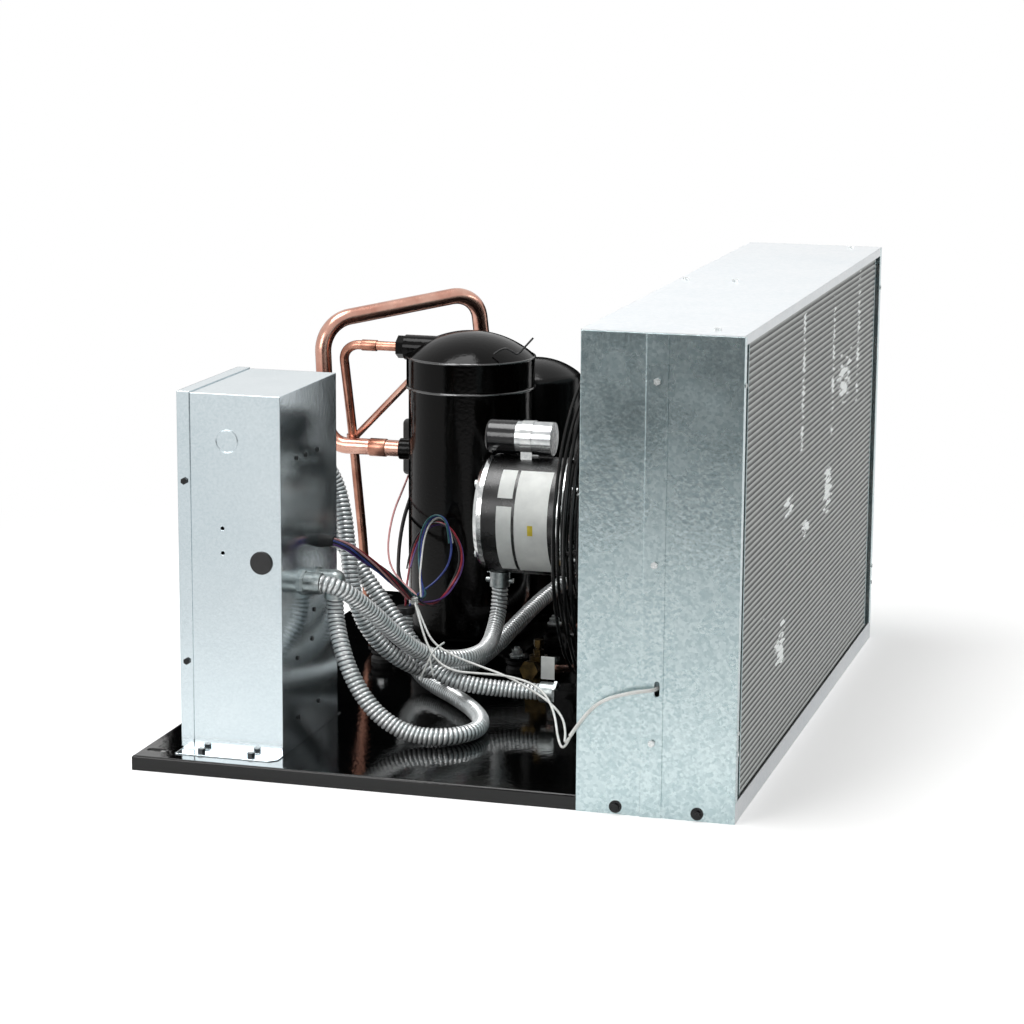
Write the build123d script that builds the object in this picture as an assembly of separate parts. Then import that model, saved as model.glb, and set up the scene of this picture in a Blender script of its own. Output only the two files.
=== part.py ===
"""Air-cooled refrigeration condensing unit, in millimetres.

+Z is up, +X is the coil face, and -Y is the side that the control box faces.
The origin is at the middle of the base's underside.
"""
import os
from math import cos, pi, radians, sin, sqrt, tan

from build123d import *

# Base pan
BASE_X = 740.0              # along X, with the coil's bottom rail on its right edge
BASE_H = 18.0               # height of the turned-down flange
BASE_T = 2.0                # pan sheet
BASE_BEND_R = 2.5           # outside radius of the pan's folded edge
SLOT_L, SLOT_W = 24.0, 11.0  # mounting slots, end to end along X, and wide
SLOT_INSET_X = 20.0         # slot centre from the left edge
SLOT_SPACING_X = 680.0
SLOT_SPACING_Y = 872.0

# Condenser casing
UNIT_Y = 940.0              # over the raised seams of the side sheets
CASE_X = 187.0              # casing depth along X
CASE_H = 560.0              # top of the casing above the base's underside
SHEET = 1.2                 # casing sheet
SEAM_W = 24.0               # raised seam strip on each side sheet
SEAM_X = 86.0               # seam's inner edge from the coil face... to its right edge
COIL_FLANGE = 12.0          # side sheet's return over the coil face
SHROUD_FLANGE = 16.0        # side sheet's return behind the shroud panel
RAIL_H = 24.0               # bottom rail's strip on the coil face
RAIL_LEG = 20.0             # reach of the sill behind it, over the pan
CABLE_SLOT = (6.0, 18.0)    # slot in the front seam for the sensor cable
CABLE_SLOT_Z = 152.0
SEAM_SCREW_Z = (88.0, 296.0, 505.0)
HEX_SCREW_R, HEX_SCREW_H = 4.2, 3.2
WASHER_SCREW_R, WASHER_SCREW_H = 7.4, 3.6

# Coil
FIN_DEPTH = 66.0            # along X
FIN_PITCH = 7.2             # ripple of the fins' front edge, along Z
FIN_RIPPLE = 1.6            # its depth
END_GAP = 34.0              # from a side sheet to the tube sheet
TUBE_R = 4.76
TUBE_PITCH_Z = 31.75
TUBE_PITCH_X = 27.5
TUBE_ROWS = 16
BEND_LEG = 6.0              # straight leg of a return bend

# Fan and guard, on one axis along X
FAN_Z = 246.0
FAN_R = 203.0
TIP_GAP = 8.0               # blade tip to venturi
VENTURI_DEPTH = 52.0
VENTURI_LIP = 5.0           # rounded mouth where the venturi leaves the panel
BLADES = 5
BLADE_T = 1.6
BLADE_CHORD_ROOT, BLADE_CHORD_TIP = 78.0, 128.0
BLADE_PITCH_ROOT, BLADE_PITCH_TIP = 38.0, 24.0
BLADE_CAMBER = 0.10         # rise of the arc over its chord
BLADE_ROOT_R = 46.0
HUB_R, HUB_L = 16.0, 34.0
SPIDER_R, SPIDER_T = 74.0, 3.0
SPIDER_ARM_W = 26.0
RIVET_R, RIVET_H = 3.4, 1.6
SHAFT_R = 6.35
SHAFT_FIT = 0.05            # running clearance in the bearing, on radius
GUARD_DEPTH = 104.0         # from the shroud panel to the guard's face
GUARD_R = 226.0             # outside of the guard's side rings
GUARD_WIRE = 2.2            # ring wire radius
GUARD_SPOKE = 2.6           # spoke wire radius
GUARD_SPOKES = 12
GUARD_SIDE_RINGS = 7
GUARD_SIDE_PITCH = 8.8
GUARD_FACE_RINGS = 6
GUARD_RING_SIDES = 24       # each ring is drawn with this many straight sides
MOUNT_RING_R0, MOUNT_RING_R1 = 54.0, 76.0
MOUNT_RING_T = 2.5

# Fan motor
MOTOR_R = 77.0
MOTOR_L = 100.0             # between the two bells
MOTOR_STAND = 18.9          # front bell to the guard's ring
BELL_L = 12.0
BELL_RIM = 1.6              # bell's rim stands this far outside the shell
BELL_HUB_R = 24.0
STUD_PCR = 65.0             # motor stud circle radius
STUD_R = 2.5
STUD_NUT_R, STUD_NUT_H = 5.0, 4.0
CAP_R, CAP_L = 21.8, 88.0   # run capacitor lying on the motor
CAP_BOOT_L = 40.0
CAP_STRAP_W, CAP_STRAP_T = 15.0, 1.2
CAP_STRAP_AT = 43.0         # middle of the strap from the shell's rear end

# Compressor
COMP_X, COMP_Y = -134.0, 155.0
COMP_R = 84.0
COMP_CAP_R = 87.0
COMP_FOOT_Z = 36.0          # underside of the foot plate
FOOT_T = 4.0
COMP_SEAM_Z = 386.0         # where the top cap meets the shell
COMP_CAP_Z = 428.0          # where the dome starts
COMP_TOP_Z = 461.0
COMP_BOWL_R = 22.0          # rounding of the shell's lower edge
COMP_CAP_EDGE = 3.5         # rounding of the cap's two edges
FOOT_SPAN = 190.0           # bolt spacing of the feet
FOOT_EAR_R = 19.0
FOOT_BOLT_R = 4.0
GROMMET_R = 15.0
DISCHARGE_BOSS_R = 17.0
DISCHARGE_Y, DISCHARGE_Z = 140.0, 437.0
DISCHARGE_X = -221.0        # end of the boss on the cap
NUT_R, NUT_L = 15.5, 11.0
SUCTION_Y, SUCTION_Z = 150.0, 295.0
SUCTION_COLLAR_R = 14.5
SUCTION_X = -232.0          # end of the suction collar
TERMINAL_W, TERMINAL_H, TERMINAL_D = 54.0, 78.0, 28.0
TERMINAL_Z = 251.0
TERMINAL_TURN = 148.0       # direction from the compressor's axis, in degrees from +X

# Copper lines
SUCTION_R = 11.1
DISCHARGE_R = 6.35
LIQUID_R = 4.76
SUCTION_ELBOW_X = -338.0    # where the line turns up beside the compressor
SUCTION_RISE, SUCTION_CREST = (-346.0, 152.0, 464.0), (-173.0, 312.0, 494.0)
SUCTION_DROP_Z = 400.0      # where the line is straight above its valve
SUCTION_BENDS = [30.0, 46.0, 44.0, 60.0]
DISCHARGE_ELBOW_X = -312.0
DISCHARGE_LOW = (-288.0, 178.0, 52.0)
DISCHARGE_SIDE = (-262.0, 262.0)
DISCHARGE_REAR_X = -214.0
DISCHARGE_BENDS = [24.0, 60.0, 90.0, 22.0, 60.0, 50.0]
BRANCH_Z, BRANCH_LAP = 396.0, 8.0
LIQUID_OUT_X = 20.0
LIQUID_SIDE = (62.0, 44.0)
LIQUID_REAR_Y, LIQUID_FRONT_Y = 246.0, 6.0
LIQUID_BENDS = [24.0, 30.0, 28.0, 10.0]
BAND_R, BAND_H = 9.0, 14.0
BAND_Z = 300.0              # middle of the band
DROP_TOP, DROP_END = (-311.0, 174.0, 322.0), (-298.0, 178.0, 172.0)

# Receiver and valves
TANK_X, TANK_Y, TANK_R = -85.0, 312.0, 63.0
TANK_Z0, TANK_Z1 = 34.0, 405.0
TANK_EDGE = 12.0            # rounding between the tank's wall and its top
TANK_FOOT_R, TANK_FOOT_T, TANK_FOOT_W = 46.0, 3.0, 12.0
SPUD_R, SPUD_L = 9.0, 8.0
OUTLET_Y, OUTLET_Z = 306.0, 62.0
VALVE_R = 15.0
SUCTION_VALVE_X, SUCTION_VALVE_Y = -172.0, 345.0
SUCTION_VALVE_Z = 92.0
LIQUID_VALVE_Z = 96.0
PORT_REACH = 450.0          # how far the line ports reach along +Y
SUCTION_PORT_R = 14.3
LIQUID_PORT_R = 7.9
SHUTOFF_X, SHUTOFF_Y = 24.0, -60.0
SWITCH_X, SWITCH_Y, SWITCH_Z = 74.0, -150.0, 50.0

# Control box
BOX_X0, BOX_X1 = -322.8, -194.0
BOX_Y0, BOX_Y1 = -420.0, -222.0
BOX_TOP = 456.0
BOX_SHEET = 1.2
COVER_LIP = 15.0
FOOT_FLANGE = 26.0
FOOT_CHAMFER = 9.0
PLUG_R, PLUG_HEAD_R = 11.0, 14.0
PLUG_X, PLUG_Z = -219.0, 255.0
KNOCKOUT_X, KNOCKOUT_Z, KNOCKOUT_R = -261.0, 400.0, 14.0
PILOT_X, PILOT_Z = -268.0, (264.0, 294.0)
COVER_SCREW_Z = (128.0, 349.0)
FACE_SCREWS = ((-366, 374), (-335, 373), (-293, 372), (-307, 175), (-315, 140), (-367, 128),
               (-366, 54), (-294, 56))
HARNESS_Y, HARNESS_Z = -284.0, 257.0
CONTACTOR = (58.0, 62.0, 74.0)
CONTACTOR_Y, CONTACTOR_Z = -320.0, 330.0
ARMATURE_TRAVEL = 4.0
ARMATURE_FIT = 0.1

# Shared clearances and small hardware
BOLT_GAP = 0.3              # bolt or stud in its hole, on radius
HOLE_GAP = 0.8              # line or harness in a sheet's hole, on radius
HOLE_LAP = 3.0              # connector's shoulder over its hole
HOLE_FIT = 0.1              # plug in its hole, on radius
BEARING_GAP = 0.5           # shaft's end from the motor's core
SMALL_SCREW_R, SMALL_SCREW_H = 2.8, 1.6
COIL_SCREW_Z = (82.0, 106.0, 504.0)
TOP_LIP = 10.0
SPOKE_BEND = 12.0
SPOKE_LAP = 8.0             # spoke's end over the motor's ring
RIVET_AT = (54.0, 68.0)
ARMATURE_W, ARMATURE_DEPTH = 24.0, 16.0
PILOT_R = 2.4
COVER_GAP = 3.0             # cover's lower edge above the pan
ELBOW_Z = 210.0
PORT_DEPTH, PORT_WALL = 14.0, 1.2
SHUTOFF_Z = 58.0
HEADER_START = 13.0         # lines reach this far inside the casing
HEADER_OFFSET = 15.0        # headers' distance out from the tube sheet
PANEL_CONDUIT = (296.0, 131.0)
CONDENSATE_AT = (325.0, 150.0)
GAS_AT = (425.0, 34.0)

# Conduits, cables and wires
CONDUIT_R = 10.8
CONNECTOR_R = 13.2
LOCKNUT_R, LOCKNUT_L = 15.5, 4.0
CABLE_R = 2.2
WIRE_R = 1.4
HARNESS_R = 4.0
BLACK_WIRE_R = 2.6

CONDUIT_MOTOR_PATH = [
    (-170, -346, 217), (-150, -346, 217), (-124, -304, 180), (-104, -256, 136), (-85, -214, 105),
    (-61, -187, 93), (-42, -150, 88), (-37, -100, 85), (-42, -52, 87), (-46, -14, 103), (-46, 0, 127),
    (-46, 0, 148),
]
CONDUIT_LOOP_PATH = [
    (-172, -292, 188), (-172, -292, 166), (-156, -315, 130), (-136, -326, 92), (-107, -330, 55),
    (-66, -327, 31), (-20, -318, 29.4), (6, -284, 29.4), (2, -236, 29.4), (-27, -182, 29.4),
    (-65, -133, 29.4), (-105, -90, 29.4), (-139, -58, 36), (-160, -39, 60), (-168, -31, 90),
    (-166, -30, 116),
]
CONDUIT_SHROUD_PATH = [
    (-225, -198, 335), (-225, -180, 335), (-214, -163, 304), (-202, -170, 265), (-194, -179, 222),
    (-188, -184, 180), (-176, -183, 138), (-156, -175, 104), (-131, -161, 80), (-107, -144, 65),
    (-84, -112, 56), (-66, -60, 54), (-53, 2, 64), (-42, 75, 82), (-29, 152, 100), (-6, 222, 117),
    (38, 276, 129), (100, 296, 131), (159, 296, 131),
]
CONDUIT_SWITCH_PATH = [
    (-256, -198, 300), (-256, -180, 300), (-240, -160, 268), (-214, -156, 232), (-187, -158, 196),
    (-155, -162, 157), (-121, -167, 116), (-94, -171, 82), (-65, -173, 64), (-28, -168, 56),
    (13, -150, 50), (52, -150, 50),
]
SENSOR_CABLE_PATH = [
    (277, -463, 152.5), (277, -474.5, 152.4), (264, -479, 151), (245, -479, 147), (214, -477, 136),
    (192, -474.5, 114), (177, -474, 90),
]
SENSOR_WIRE_FRONT_PATH = [
    (176.5, -475.8, 88.4), (169, -471, 78), (163, -441, 83), (146, -392, 89), (113, -336, 91),
    (70, -276, 89), (30, -230, 89), (-10, -206, 92), (-46, -204, 102), (-76, -197, 115),
    (-95, -176, 134), (-111, -157, 154),
]
SENSOR_WIRE_REAR_PATH = [
    (176.5, -472.2, 88.4), (167, -463, 69), (152, -434, 70), (134, -386, 95), (101, -330, 106),
    (52, -288, 105), (6, -254, 96), (-36, -240, 92), (-62, -230, 102), (-80, -213, 121),
    (-95, -190, 139), (-110, -164, 157),
]
HARNESS_PATH = [
    (-196, -284, 257), (-168, -284, 257), (-146, -256, 232), (-129, -207, 199), (-118, -161, 165),
]
LOOP_RED_PATH = [
    (-115.69, -162.51, 163.7), (-111.91, -146.72, 152.03), (-109, -112, 143), (-112, -70, 136),
    (-117, -26, 133), (-116, 8, 140), (-107, 28, 163), (-110, 37, 190), (-128, 42, 215), (-150, 43, 220),
    (-168, 42, 205), (-178, 34, 180), (-175, 12, 160),
]
LOOP_BLUE_PATH = [
    (-115.25, -160.7, 166.3), (-111.47, -144.91, 154.63), (-115, -120, 151), (-123, -90, 151),
    (-134, -56, 149), (-148, -22, 156), (-158, 8, 175), (-160, 20, 202), (-153, 27, 225),
    (-138, 29, 233), (-124, 27, 220), (-120, 22, 196),
]
TERMINAL_WIRE_PATH = [
    (-118.38, -158.27, 168.57), (-114.6, -142.48, 156.9), (-124, -118, 158), (-152, -90, 165),
    (-180, -52, 175), (-202, 2, 188), (-217, 58, 205), (-227, 110, 221), (-233, 158, 233),
    (-236, 196, 249.2),
]
TERMINAL_CABLE_PATH = [
    (-119.85, -160.56, 165), (-116.07, -144.77, 153.33), (-124, -118, 150), (-148, -86, 153),
    (-173, -40, 160), (-191, 14, 172), (-206, 68, 189), (-217, 118, 206), (-224, 166, 222),
    (-226, 206, 248),
]

BASE_Y = UNIT_Y - 4 * SHEET
X0 = -BASE_X / 2
X1 = BASE_X / 2
CASE_X0 = X1 - CASE_X
SIDE_Y = UNIT_Y / 2 - SHEET          # outer face of the side sheets, under the raised seam
INNER_Y = SIDE_Y - SHEET
SEAM_X1 = X1 - SEAM_X
SEAM_X0 = SEAM_X1 - SEAM_W
CABLE_SLOT_X = SEAM_X1 - CABLE_SLOT[0] - 1
FLOOR = BASE_H                        # upper face of the base pan
CASE_TOP = CASE_H - SHEET             # underside of the top sheet

COIL_X1 = X1 - 2 * SHEET
COIL_X0 = COIL_X1 - FIN_DEPTH
COIL_Z0 = FLOOR + SHEET
COIL_Y = INNER_Y - END_GAP            # outer face of the tube sheets
RIPPLES = int((CASE_TOP - COIL_Z0 - FIN_PITCH) / FIN_PITCH)
TUBE_Z0 = (CASE_TOP + COIL_Z0 - (TUBE_ROWS - 1) * TUBE_PITCH_Z) / 2
TUBE_Z1 = TUBE_Z0 + (TUBE_ROWS - 1) * TUBE_PITCH_Z
TUBE_XS = [(COIL_X0 + COIL_X1) / 2 - TUBE_PITCH_X / 2, (COIL_X0 + COIL_X1) / 2 + TUBE_PITCH_X / 2]

GUARD_X = CASE_X0 - GUARD_DEPTH       # the guard's face
SPOKE_R = GUARD_R - 2 * GUARD_WIRE - GUARD_SPOKE
SPOKE_X = GUARD_X + 2 * GUARD_WIRE + GUARD_SPOKE
MOUNT_RING_X = SPOKE_X - GUARD_SPOKE
VENTURI_R = FAN_R + TIP_GAP
FAN_X = CASE_X0 - VENTURI_DEPTH + 2
BLADE_MIDDLE = (BLADE_ROOT_R + FAN_R) / 2
SHAFT_END = FAN_X + HUB_L / 2 + 4
BELL_X1 = MOUNT_RING_X - MOUNT_RING_T - MOTOR_STAND
MOTOR_X1 = BELL_X1 - BELL_L
MOTOR_X0 = MOTOR_X1 - MOTOR_L
BELL_X0 = MOTOR_X0 - BELL_L
CAP_STRAP_X = MOTOR_X0 + CAP_STRAP_AT
CAP_Z = FAN_Z + MOTOR_R + BELL_RIM + CAP_STRAP_T + CAP_R
CAP_X0 = BELL_X0

TANK_TOP_SPUD = TANK_X + TANK_R
COVER_X0 = BOX_X0 - BOX_SHEET
TERMINAL_CENTRE = (
    COMP_X + (COMP_R + TERMINAL_D / 2) * cos(radians(TERMINAL_TURN)),
    COMP_Y + (COMP_R + TERMINAL_D / 2) * sin(radians(TERMINAL_TURN)),
)


def block(x0, x1, y0, y1, z0, z1):
    """A box between two corners."""
    return Pos((x0 + x1) / 2, (y0 + y1) / 2, (z0 + z1) / 2) * Box(x1 - x0, y1 - y0, z1 - z0)


def bar(start, end, section):
    """A straight bar of the given section from one point to another."""
    start, end = Vector(*start), Vector(*end)
    return extrude(Plane(origin=start, z_dir=end - start) * section, (end - start).length)


def rod(start, end, radius):
    """A round bar from one point to another."""
    return bar(start, end, Circle(radius))


def hex_bar(start, end, radius):
    """A hexagonal bar from one point to another, by its corner radius."""
    return bar(start, end, RegularPolygon(radius, 6))


def turned(profile, origin=(0, 0, 0), axis=(0, 0, 1)):
    """A solid of revolution from (radius, height) points, about an axis through origin."""
    section = Plane.XZ * Polygon(*profile, align=None)
    return Plane(origin=origin, z_dir=axis).location * revolve(section, Axis.Z, 360)


def domed(radius, low, shoulder, top):
    """A round body with a shallow dome on top, standing on Z."""
    rise = top - shoulder
    crown = (radius**2 + rise**2) / (2 * rise)
    middle = (radius / 2, top - crown + sqrt(crown**2 - radius**2 / 4))
    outline = [
        Polyline((0, top), (0, low), (radius, low), (radius, shoulder)),
        ThreePointArc((radius, shoulder), middle, (0, top)),
    ]
    return revolve(Plane.XZ * make_face(Curve() + outline), Axis.Z, 360)


def rims(solid, radius):
    """A solid's round edges of one radius, from the lowest up."""
    edges = solid.edges().filter_by(GeomType.CIRCLE)
    return edges.filter_by(lambda edge: abs(edge.radius - radius) < 0.001).sort_by(Axis.Z)


def twins(piece):
    """A piece and its mirror image across the middle of the unit's width."""
    return [piece, mirror(piece, Plane.XZ)]


def turn_at(before, point, after):
    """The angle by which a route turns at a point, in degrees."""
    return (Vector(*point) - Vector(*before)).get_angle(Vector(*after) - Vector(*point))


def route_radii(points):
    """The largest easy bend at each inner point of a loose cord's route."""
    radii = []
    for before, point, after in zip(points, points[1:], points[2:]):
        run = min((Vector(*point) - Vector(*before)).length, (Vector(*after) - Vector(*point)).length)
        radii.append(0.45 * run / tan(radians(turn_at(before, point, after) / 2)))
    return radii


def tube(points, radius, bends):
    """A round tube along straight runs joined by arcs."""
    path = FilletPolyline(*points, radius=bends)
    return sweep(Plane(origin=path @ 0, z_dir=path % 0) * Circle(radius), path=path)


def cord(name, points, radius):
    """A loose cord's solid, with a line that says how tightly it bends."""
    radii = route_radii(points)
    solid = tube(points, radius, radii)
    length = FilletPolyline(*points, radius=radii).length
    share = solid.volume / (pi * radius**2 * length)
    print(f"{name}: {length:.0f} mm, volume ratio {share:.4f}, bends {[round(r) for r in radii]}")
    return solid


def screw(place, out, radius, height, sides=6):
    """A screw's head, seated on a face at place and standing out along out."""
    end = tuple(p + height * o for p, o in zip(place, out))
    return hex_bar(place, end, radius) if sides == 6 else rod(place, end, radius)


def foot_places():
    """The four bolts of the compressor's feet."""
    half = FOOT_SPAN / 2
    return [(COMP_X + i * half, COMP_Y + j * half) for i in (-1, 1) for j in (-1, 1)]


# Base and casing


def base_pan():
    """Pressed tray with a turned-down flange, four slots and the compressor's bolt holes."""
    half_y = BASE_Y / 2
    right = X1 - SHEET
    pan = block(X0, right, -half_y, half_y, 0, BASE_H)
    pan = fillet(pan.faces().sort_by(Axis.Z)[-1].edges(), BASE_BEND_R)
    pan -= block(X0 + BASE_T, right - BASE_T, -half_y + BASE_T, half_y - BASE_T, 0, BASE_H - BASE_T)
    for x in (X0 + SLOT_INSET_X, X0 + SLOT_INSET_X + SLOT_SPACING_X):
        for y in (-SLOT_SPACING_Y / 2, SLOT_SPACING_Y / 2):
            pan -= extrude(Pos(x, y, 0) * SlotOverall(SLOT_L, SLOT_W), BASE_H)
    for x, y in foot_places():
        pan -= Pos(x, y, BASE_H) * Cylinder(FOOT_BOLT_R + BOLT_GAP, 3 * BASE_T)
    return pan


def venturi():
    """The shroud's formed ring, from its rounded mouth to its free edge towards the motor."""
    r, lip, t = VENTURI_R, VENTURI_LIP, SHEET
    profile = [
        (r, -VENTURI_DEPTH), (r, -lip), (r + 0.3 * lip, t - 0.3 * lip), (r + lip, t), (r + lip, 0),
        (r + 0.3 * lip + t, -0.3 * lip), (r + t, -lip), (r + t, -VENTURI_DEPTH),
    ]
    return turned(profile, (CASE_X0, 0, FAN_Z), (1, 0, 0))


def shroud_panel():
    """Fan-side panel with a formed venturi round the fan, and holes for the lines."""
    panel = block(CASE_X0, CASE_X0 + SHEET, -INNER_Y, INNER_Y, FLOOR, CASE_TOP)
    panel -= Pos(CASE_X0, 0, FAN_Z) * Rot(0, 90, 0) * Cylinder(VENTURI_R + VENTURI_LIP, 4 * SHEET)
    panel += venturi()
    for (y, z), radius in ((PANEL_CONDUIT, CONDUIT_R), (CONDENSATE_AT, LIQUID_R), (GAS_AT, DISCHARGE_R)):
        panel -= Pos(CASE_X0, y, z) * Rot(0, 90, 0) * Cylinder(radius + HOLE_GAP, 4 * SHEET)
    return panel


def cable_slot():
    """The cutter for the sensor cable's slot through the front seam."""
    width, height = CABLE_SLOT
    place = Plane(origin=(CABLE_SLOT_X, -SIDE_Y, CABLE_SLOT_Z), x_dir=(0, 0, 1), z_dir=(0, 1, 0))
    return extrude(place * SlotOverall(height, width), 4 * SHEET, both=True)


def shroud_sides():
    """Front and rear sheets on the fan side, each with a raised seam over the coil's sheet."""
    y = -SIDE_Y
    side = block(CASE_X0, SEAM_X0, y, y + SHEET, 0, CASE_TOP)
    side += block(SEAM_X0 - SHEET, SEAM_X1, y - SHEET, y, 0, CASE_TOP)
    side += block(CASE_X0 + SHEET, CASE_X0 + 2 * SHEET, y + SHEET, y + SHROUD_FLANGE, FLOOR, CASE_TOP)
    return [side - cable_slot(), mirror(side, Plane.XZ)]


def coil_sides():
    """Front and rear sheets on the coil side, each with a return over the coil face."""
    y = -SIDE_Y
    side = block(SEAM_X0, X1, y, y + SHEET, 0, CASE_TOP)
    side += block(X1 - SHEET, X1, y + SHEET, y + COIL_FLANGE, RAIL_H, CASE_TOP)
    return [side - cable_slot(), mirror(side, Plane.XZ)]


def condenser_top():
    """Top sheet with a short lip over the coil face, between the side sheets' returns."""
    top = block(CASE_X0, X1, -SIDE_Y, SIDE_Y, CASE_TOP, CASE_H)
    lip_y = SIDE_Y - COIL_FLANGE
    return top + block(X1 - SHEET, X1, -lip_y, lip_y, CASE_TOP - TOP_LIP, CASE_TOP)


def coil_bottom_rail():
    """Face strip over the pan's right flange, and the sill that carries the coil behind it."""
    strip = block(X1 - SHEET, X1, -INNER_Y, INNER_Y, 0, RAIL_H)
    return [strip, block(X1 - RAIL_LEG, X1 - SHEET, -INNER_Y, INNER_Y, FLOOR, COIL_Z0)]


def casing_screws():
    """Hex screws of the seams, the top, the coil's returns and the guard's feet."""
    screws = []
    for z in SEAM_SCREW_Z:
        place = (SEAM_X1 - SEAM_W / 2, -SIDE_Y - SHEET, z)
        screws += twins(screw(place, (0, -1, 0), HEX_SCREW_R, HEX_SCREW_H))
    for x, y in ((X1 - 38, SIDE_Y - 33), (X1 - 112, SIDE_Y / 55), (CASE_X0 + 12, SIDE_Y / 55)):
        screws.append(screw((x, y, CASE_H), (0, 0, 1), HEX_SCREW_R, HEX_SCREW_H))
    screws.append(screw((X1 - 38, 33 - SIDE_Y, CASE_H), (0, 0, 1), HEX_SCREW_R, HEX_SCREW_H))
    for z in COIL_SCREW_Z:
        place = (X1, COIL_FLANGE / 2 - SIDE_Y, z)
        screws += twins(screw(place, (1, 0, 0), SMALL_SCREW_R, SMALL_SCREW_H))
    return screws


def base_screws():
    """Washer-head screws through the side sheets into the pan's flange."""
    screws = []
    for x in (X1 - 44, X1 - 140):
        y = -SIDE_Y
        head = rod((x, y, BASE_H / 2), (x, y - 1, BASE_H / 2), WASHER_SCREW_R)
        head += hex_bar((x, y - 1, BASE_H / 2), (x, y - WASHER_SCREW_H, BASE_H / 2), 0.6 * WASHER_SCREW_R)
        screws += twins(head)
    return screws


# Coil


def coil_tube_sheets():
    """The coil's two end plates, standing on the bottom rail."""
    return twins(block(COIL_X0, COIL_X1, -COIL_Y, SHEET - COIL_Y, COIL_Z0, CASE_TOP))


def coil_fin_pack():
    """The stack of fins as one block, with the rippled edge that its plates share."""
    low = COIL_Z0 + FIN_PITCH / 2
    front = []
    for i in range(RIPPLES):
        front += [(COIL_X1 - FIN_RIPPLE, low + i * FIN_PITCH), (COIL_X1, low + (i + 0.5) * FIN_PITCH)]
    high = low + RIPPLES * FIN_PITCH
    outline = [(COIL_X0, low)] + front + [(COIL_X1 - FIN_RIPPLE, high), (COIL_X0, high)]
    depth = COIL_Y - SHEET
    return extrude(Plane.XZ.offset(-depth) * Polygon(*outline, align=None), 2 * depth)


def return_bend(x, z, y_sign):
    """One bend between two neighbouring tubes of a column, seated on its tube sheet."""
    y = y_sign * COIL_Y
    out = y + y_sign * (BEND_LEG + TUBE_PITCH_Z / 2)
    points = [(x, y, z), (x, out, z), (x, out, z + TUBE_PITCH_Z), (x, y, z + TUBE_PITCH_Z)]
    path = FilletPolyline(*points, radius=0.49 * TUBE_PITCH_Z)
    return sweep(Plane(origin=points[0], z_dir=(0, y_sign, 0)) * RegularPolygon(TUBE_R, 6), path=path)


def coil_return_bends():
    """All the return bends, in pairs at the front end and between the pairs at the rear."""
    bends = []
    for x in TUBE_XS:
        bends += [return_bend(x, TUBE_Z0 + i * TUBE_PITCH_Z, -1) for i in range(0, TUBE_ROWS - 1, 2)]
        bends += [return_bend(x, TUBE_Z0 + i * TUBE_PITCH_Z, 1) for i in range(1, TUBE_ROWS - 2, 2)]
    return bends


def coil_headers():
    """Gas header on the top row and liquid header on the bottom row, with their lines to the panel."""
    start = CASE_X0 + HEADER_START
    y = COIL_Y + HEADER_OFFSET
    far = TUBE_XS[1] + 2 * TUBE_R
    gas_y, gas_z = GAS_AT
    liquid_y, liquid_z = CONDENSATE_AT
    gas_x, liquid_x = COIL_X0 - 52, COIL_X0 - 80
    gas_points = [
        (start, gas_y, gas_z), (gas_x, gas_y, gas_z), (gas_x, gas_y, TUBE_Z1), (gas_x + 34, y, TUBE_Z1),
        (far, y, TUBE_Z1),
    ]
    liquid_points = [
        (start, liquid_y, liquid_z), (liquid_x, liquid_y, liquid_z), (liquid_x, y, liquid_z - 40),
        (liquid_x, y, TUBE_Z0), (far, y, TUBE_Z0),
    ]
    gas = tube(gas_points, DISCHARGE_R, 12)
    liquid = tube(liquid_points, DISCHARGE_R, 12)
    for x in TUBE_XS:
        gas += rod((x, y, TUBE_Z1), (x, COIL_Y, TUBE_Z1), TUBE_R)
        liquid += rod((x, y, TUBE_Z0), (x, COIL_Y, TUBE_Z0), TUBE_R)
    return [gas, liquid]


# Fan, guard and motor


def chord_at(radius):
    """The blade's chord and pitch at a radius."""
    share = (radius - BLADE_ROOT_R) / (FAN_R - BLADE_ROOT_R)
    chord = BLADE_CHORD_ROOT + share * (BLADE_CHORD_TIP - BLADE_CHORD_ROOT)
    return chord, BLADE_PITCH_ROOT + share * (BLADE_PITCH_TIP - BLADE_PITCH_ROOT)


def blade_plane(radius):
    """The plane across a blade at a radius, with its X along the chord."""
    pitch = radians(chord_at(radius)[1])
    return Plane(origin=(0, radius, 0), x_dir=(-sin(pitch), 0, cos(pitch)), z_dir=(0, 1, 0))


def curved_plate(radius, low, high):
    """A section of plate curved to the blade's camber, between two heights over its curve."""
    half = chord_at(radius)[0] / 2
    rise = 2 * half * BLADE_CAMBER
    outline = [
        ThreePointArc((-half, low), (0, rise + low), (half, low)),
        Line((half, low), (half, high)),
        ThreePointArc((half, high), (0, rise + high), (-half, high)),
        Line((-half, high), (-half, low)),
    ]
    return blade_plane(radius) * make_face(Curve() + outline)


def rivet_place(radius):
    """A rivet's point on the blade's curve and the direction out of it."""
    plane = blade_plane(radius)
    rise = chord_at(radius)[0] * BLADE_CAMBER
    return plane.origin + plane.y_dir * rise, plane.y_dir


def rivets():
    """The rivets of the blade that stands along +Y."""
    pins = []
    for radius in RIVET_AT:
        place, out = rivet_place(radius)
        pins.append(rod(place - out * (SPIDER_T + RIVET_H), place + out * (BLADE_T + RIVET_H), RIVET_R))
    return pins


def spun(pieces):
    """Copies of the pieces of one blade for all the blades, in place on the shaft."""
    turns = [Pos(FAN_X, 0, FAN_Z) * Rot(360 * i / BLADES, 0, 0) for i in range(BLADES)]
    return [turn * piece for turn in turns for piece in pieces]


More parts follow.
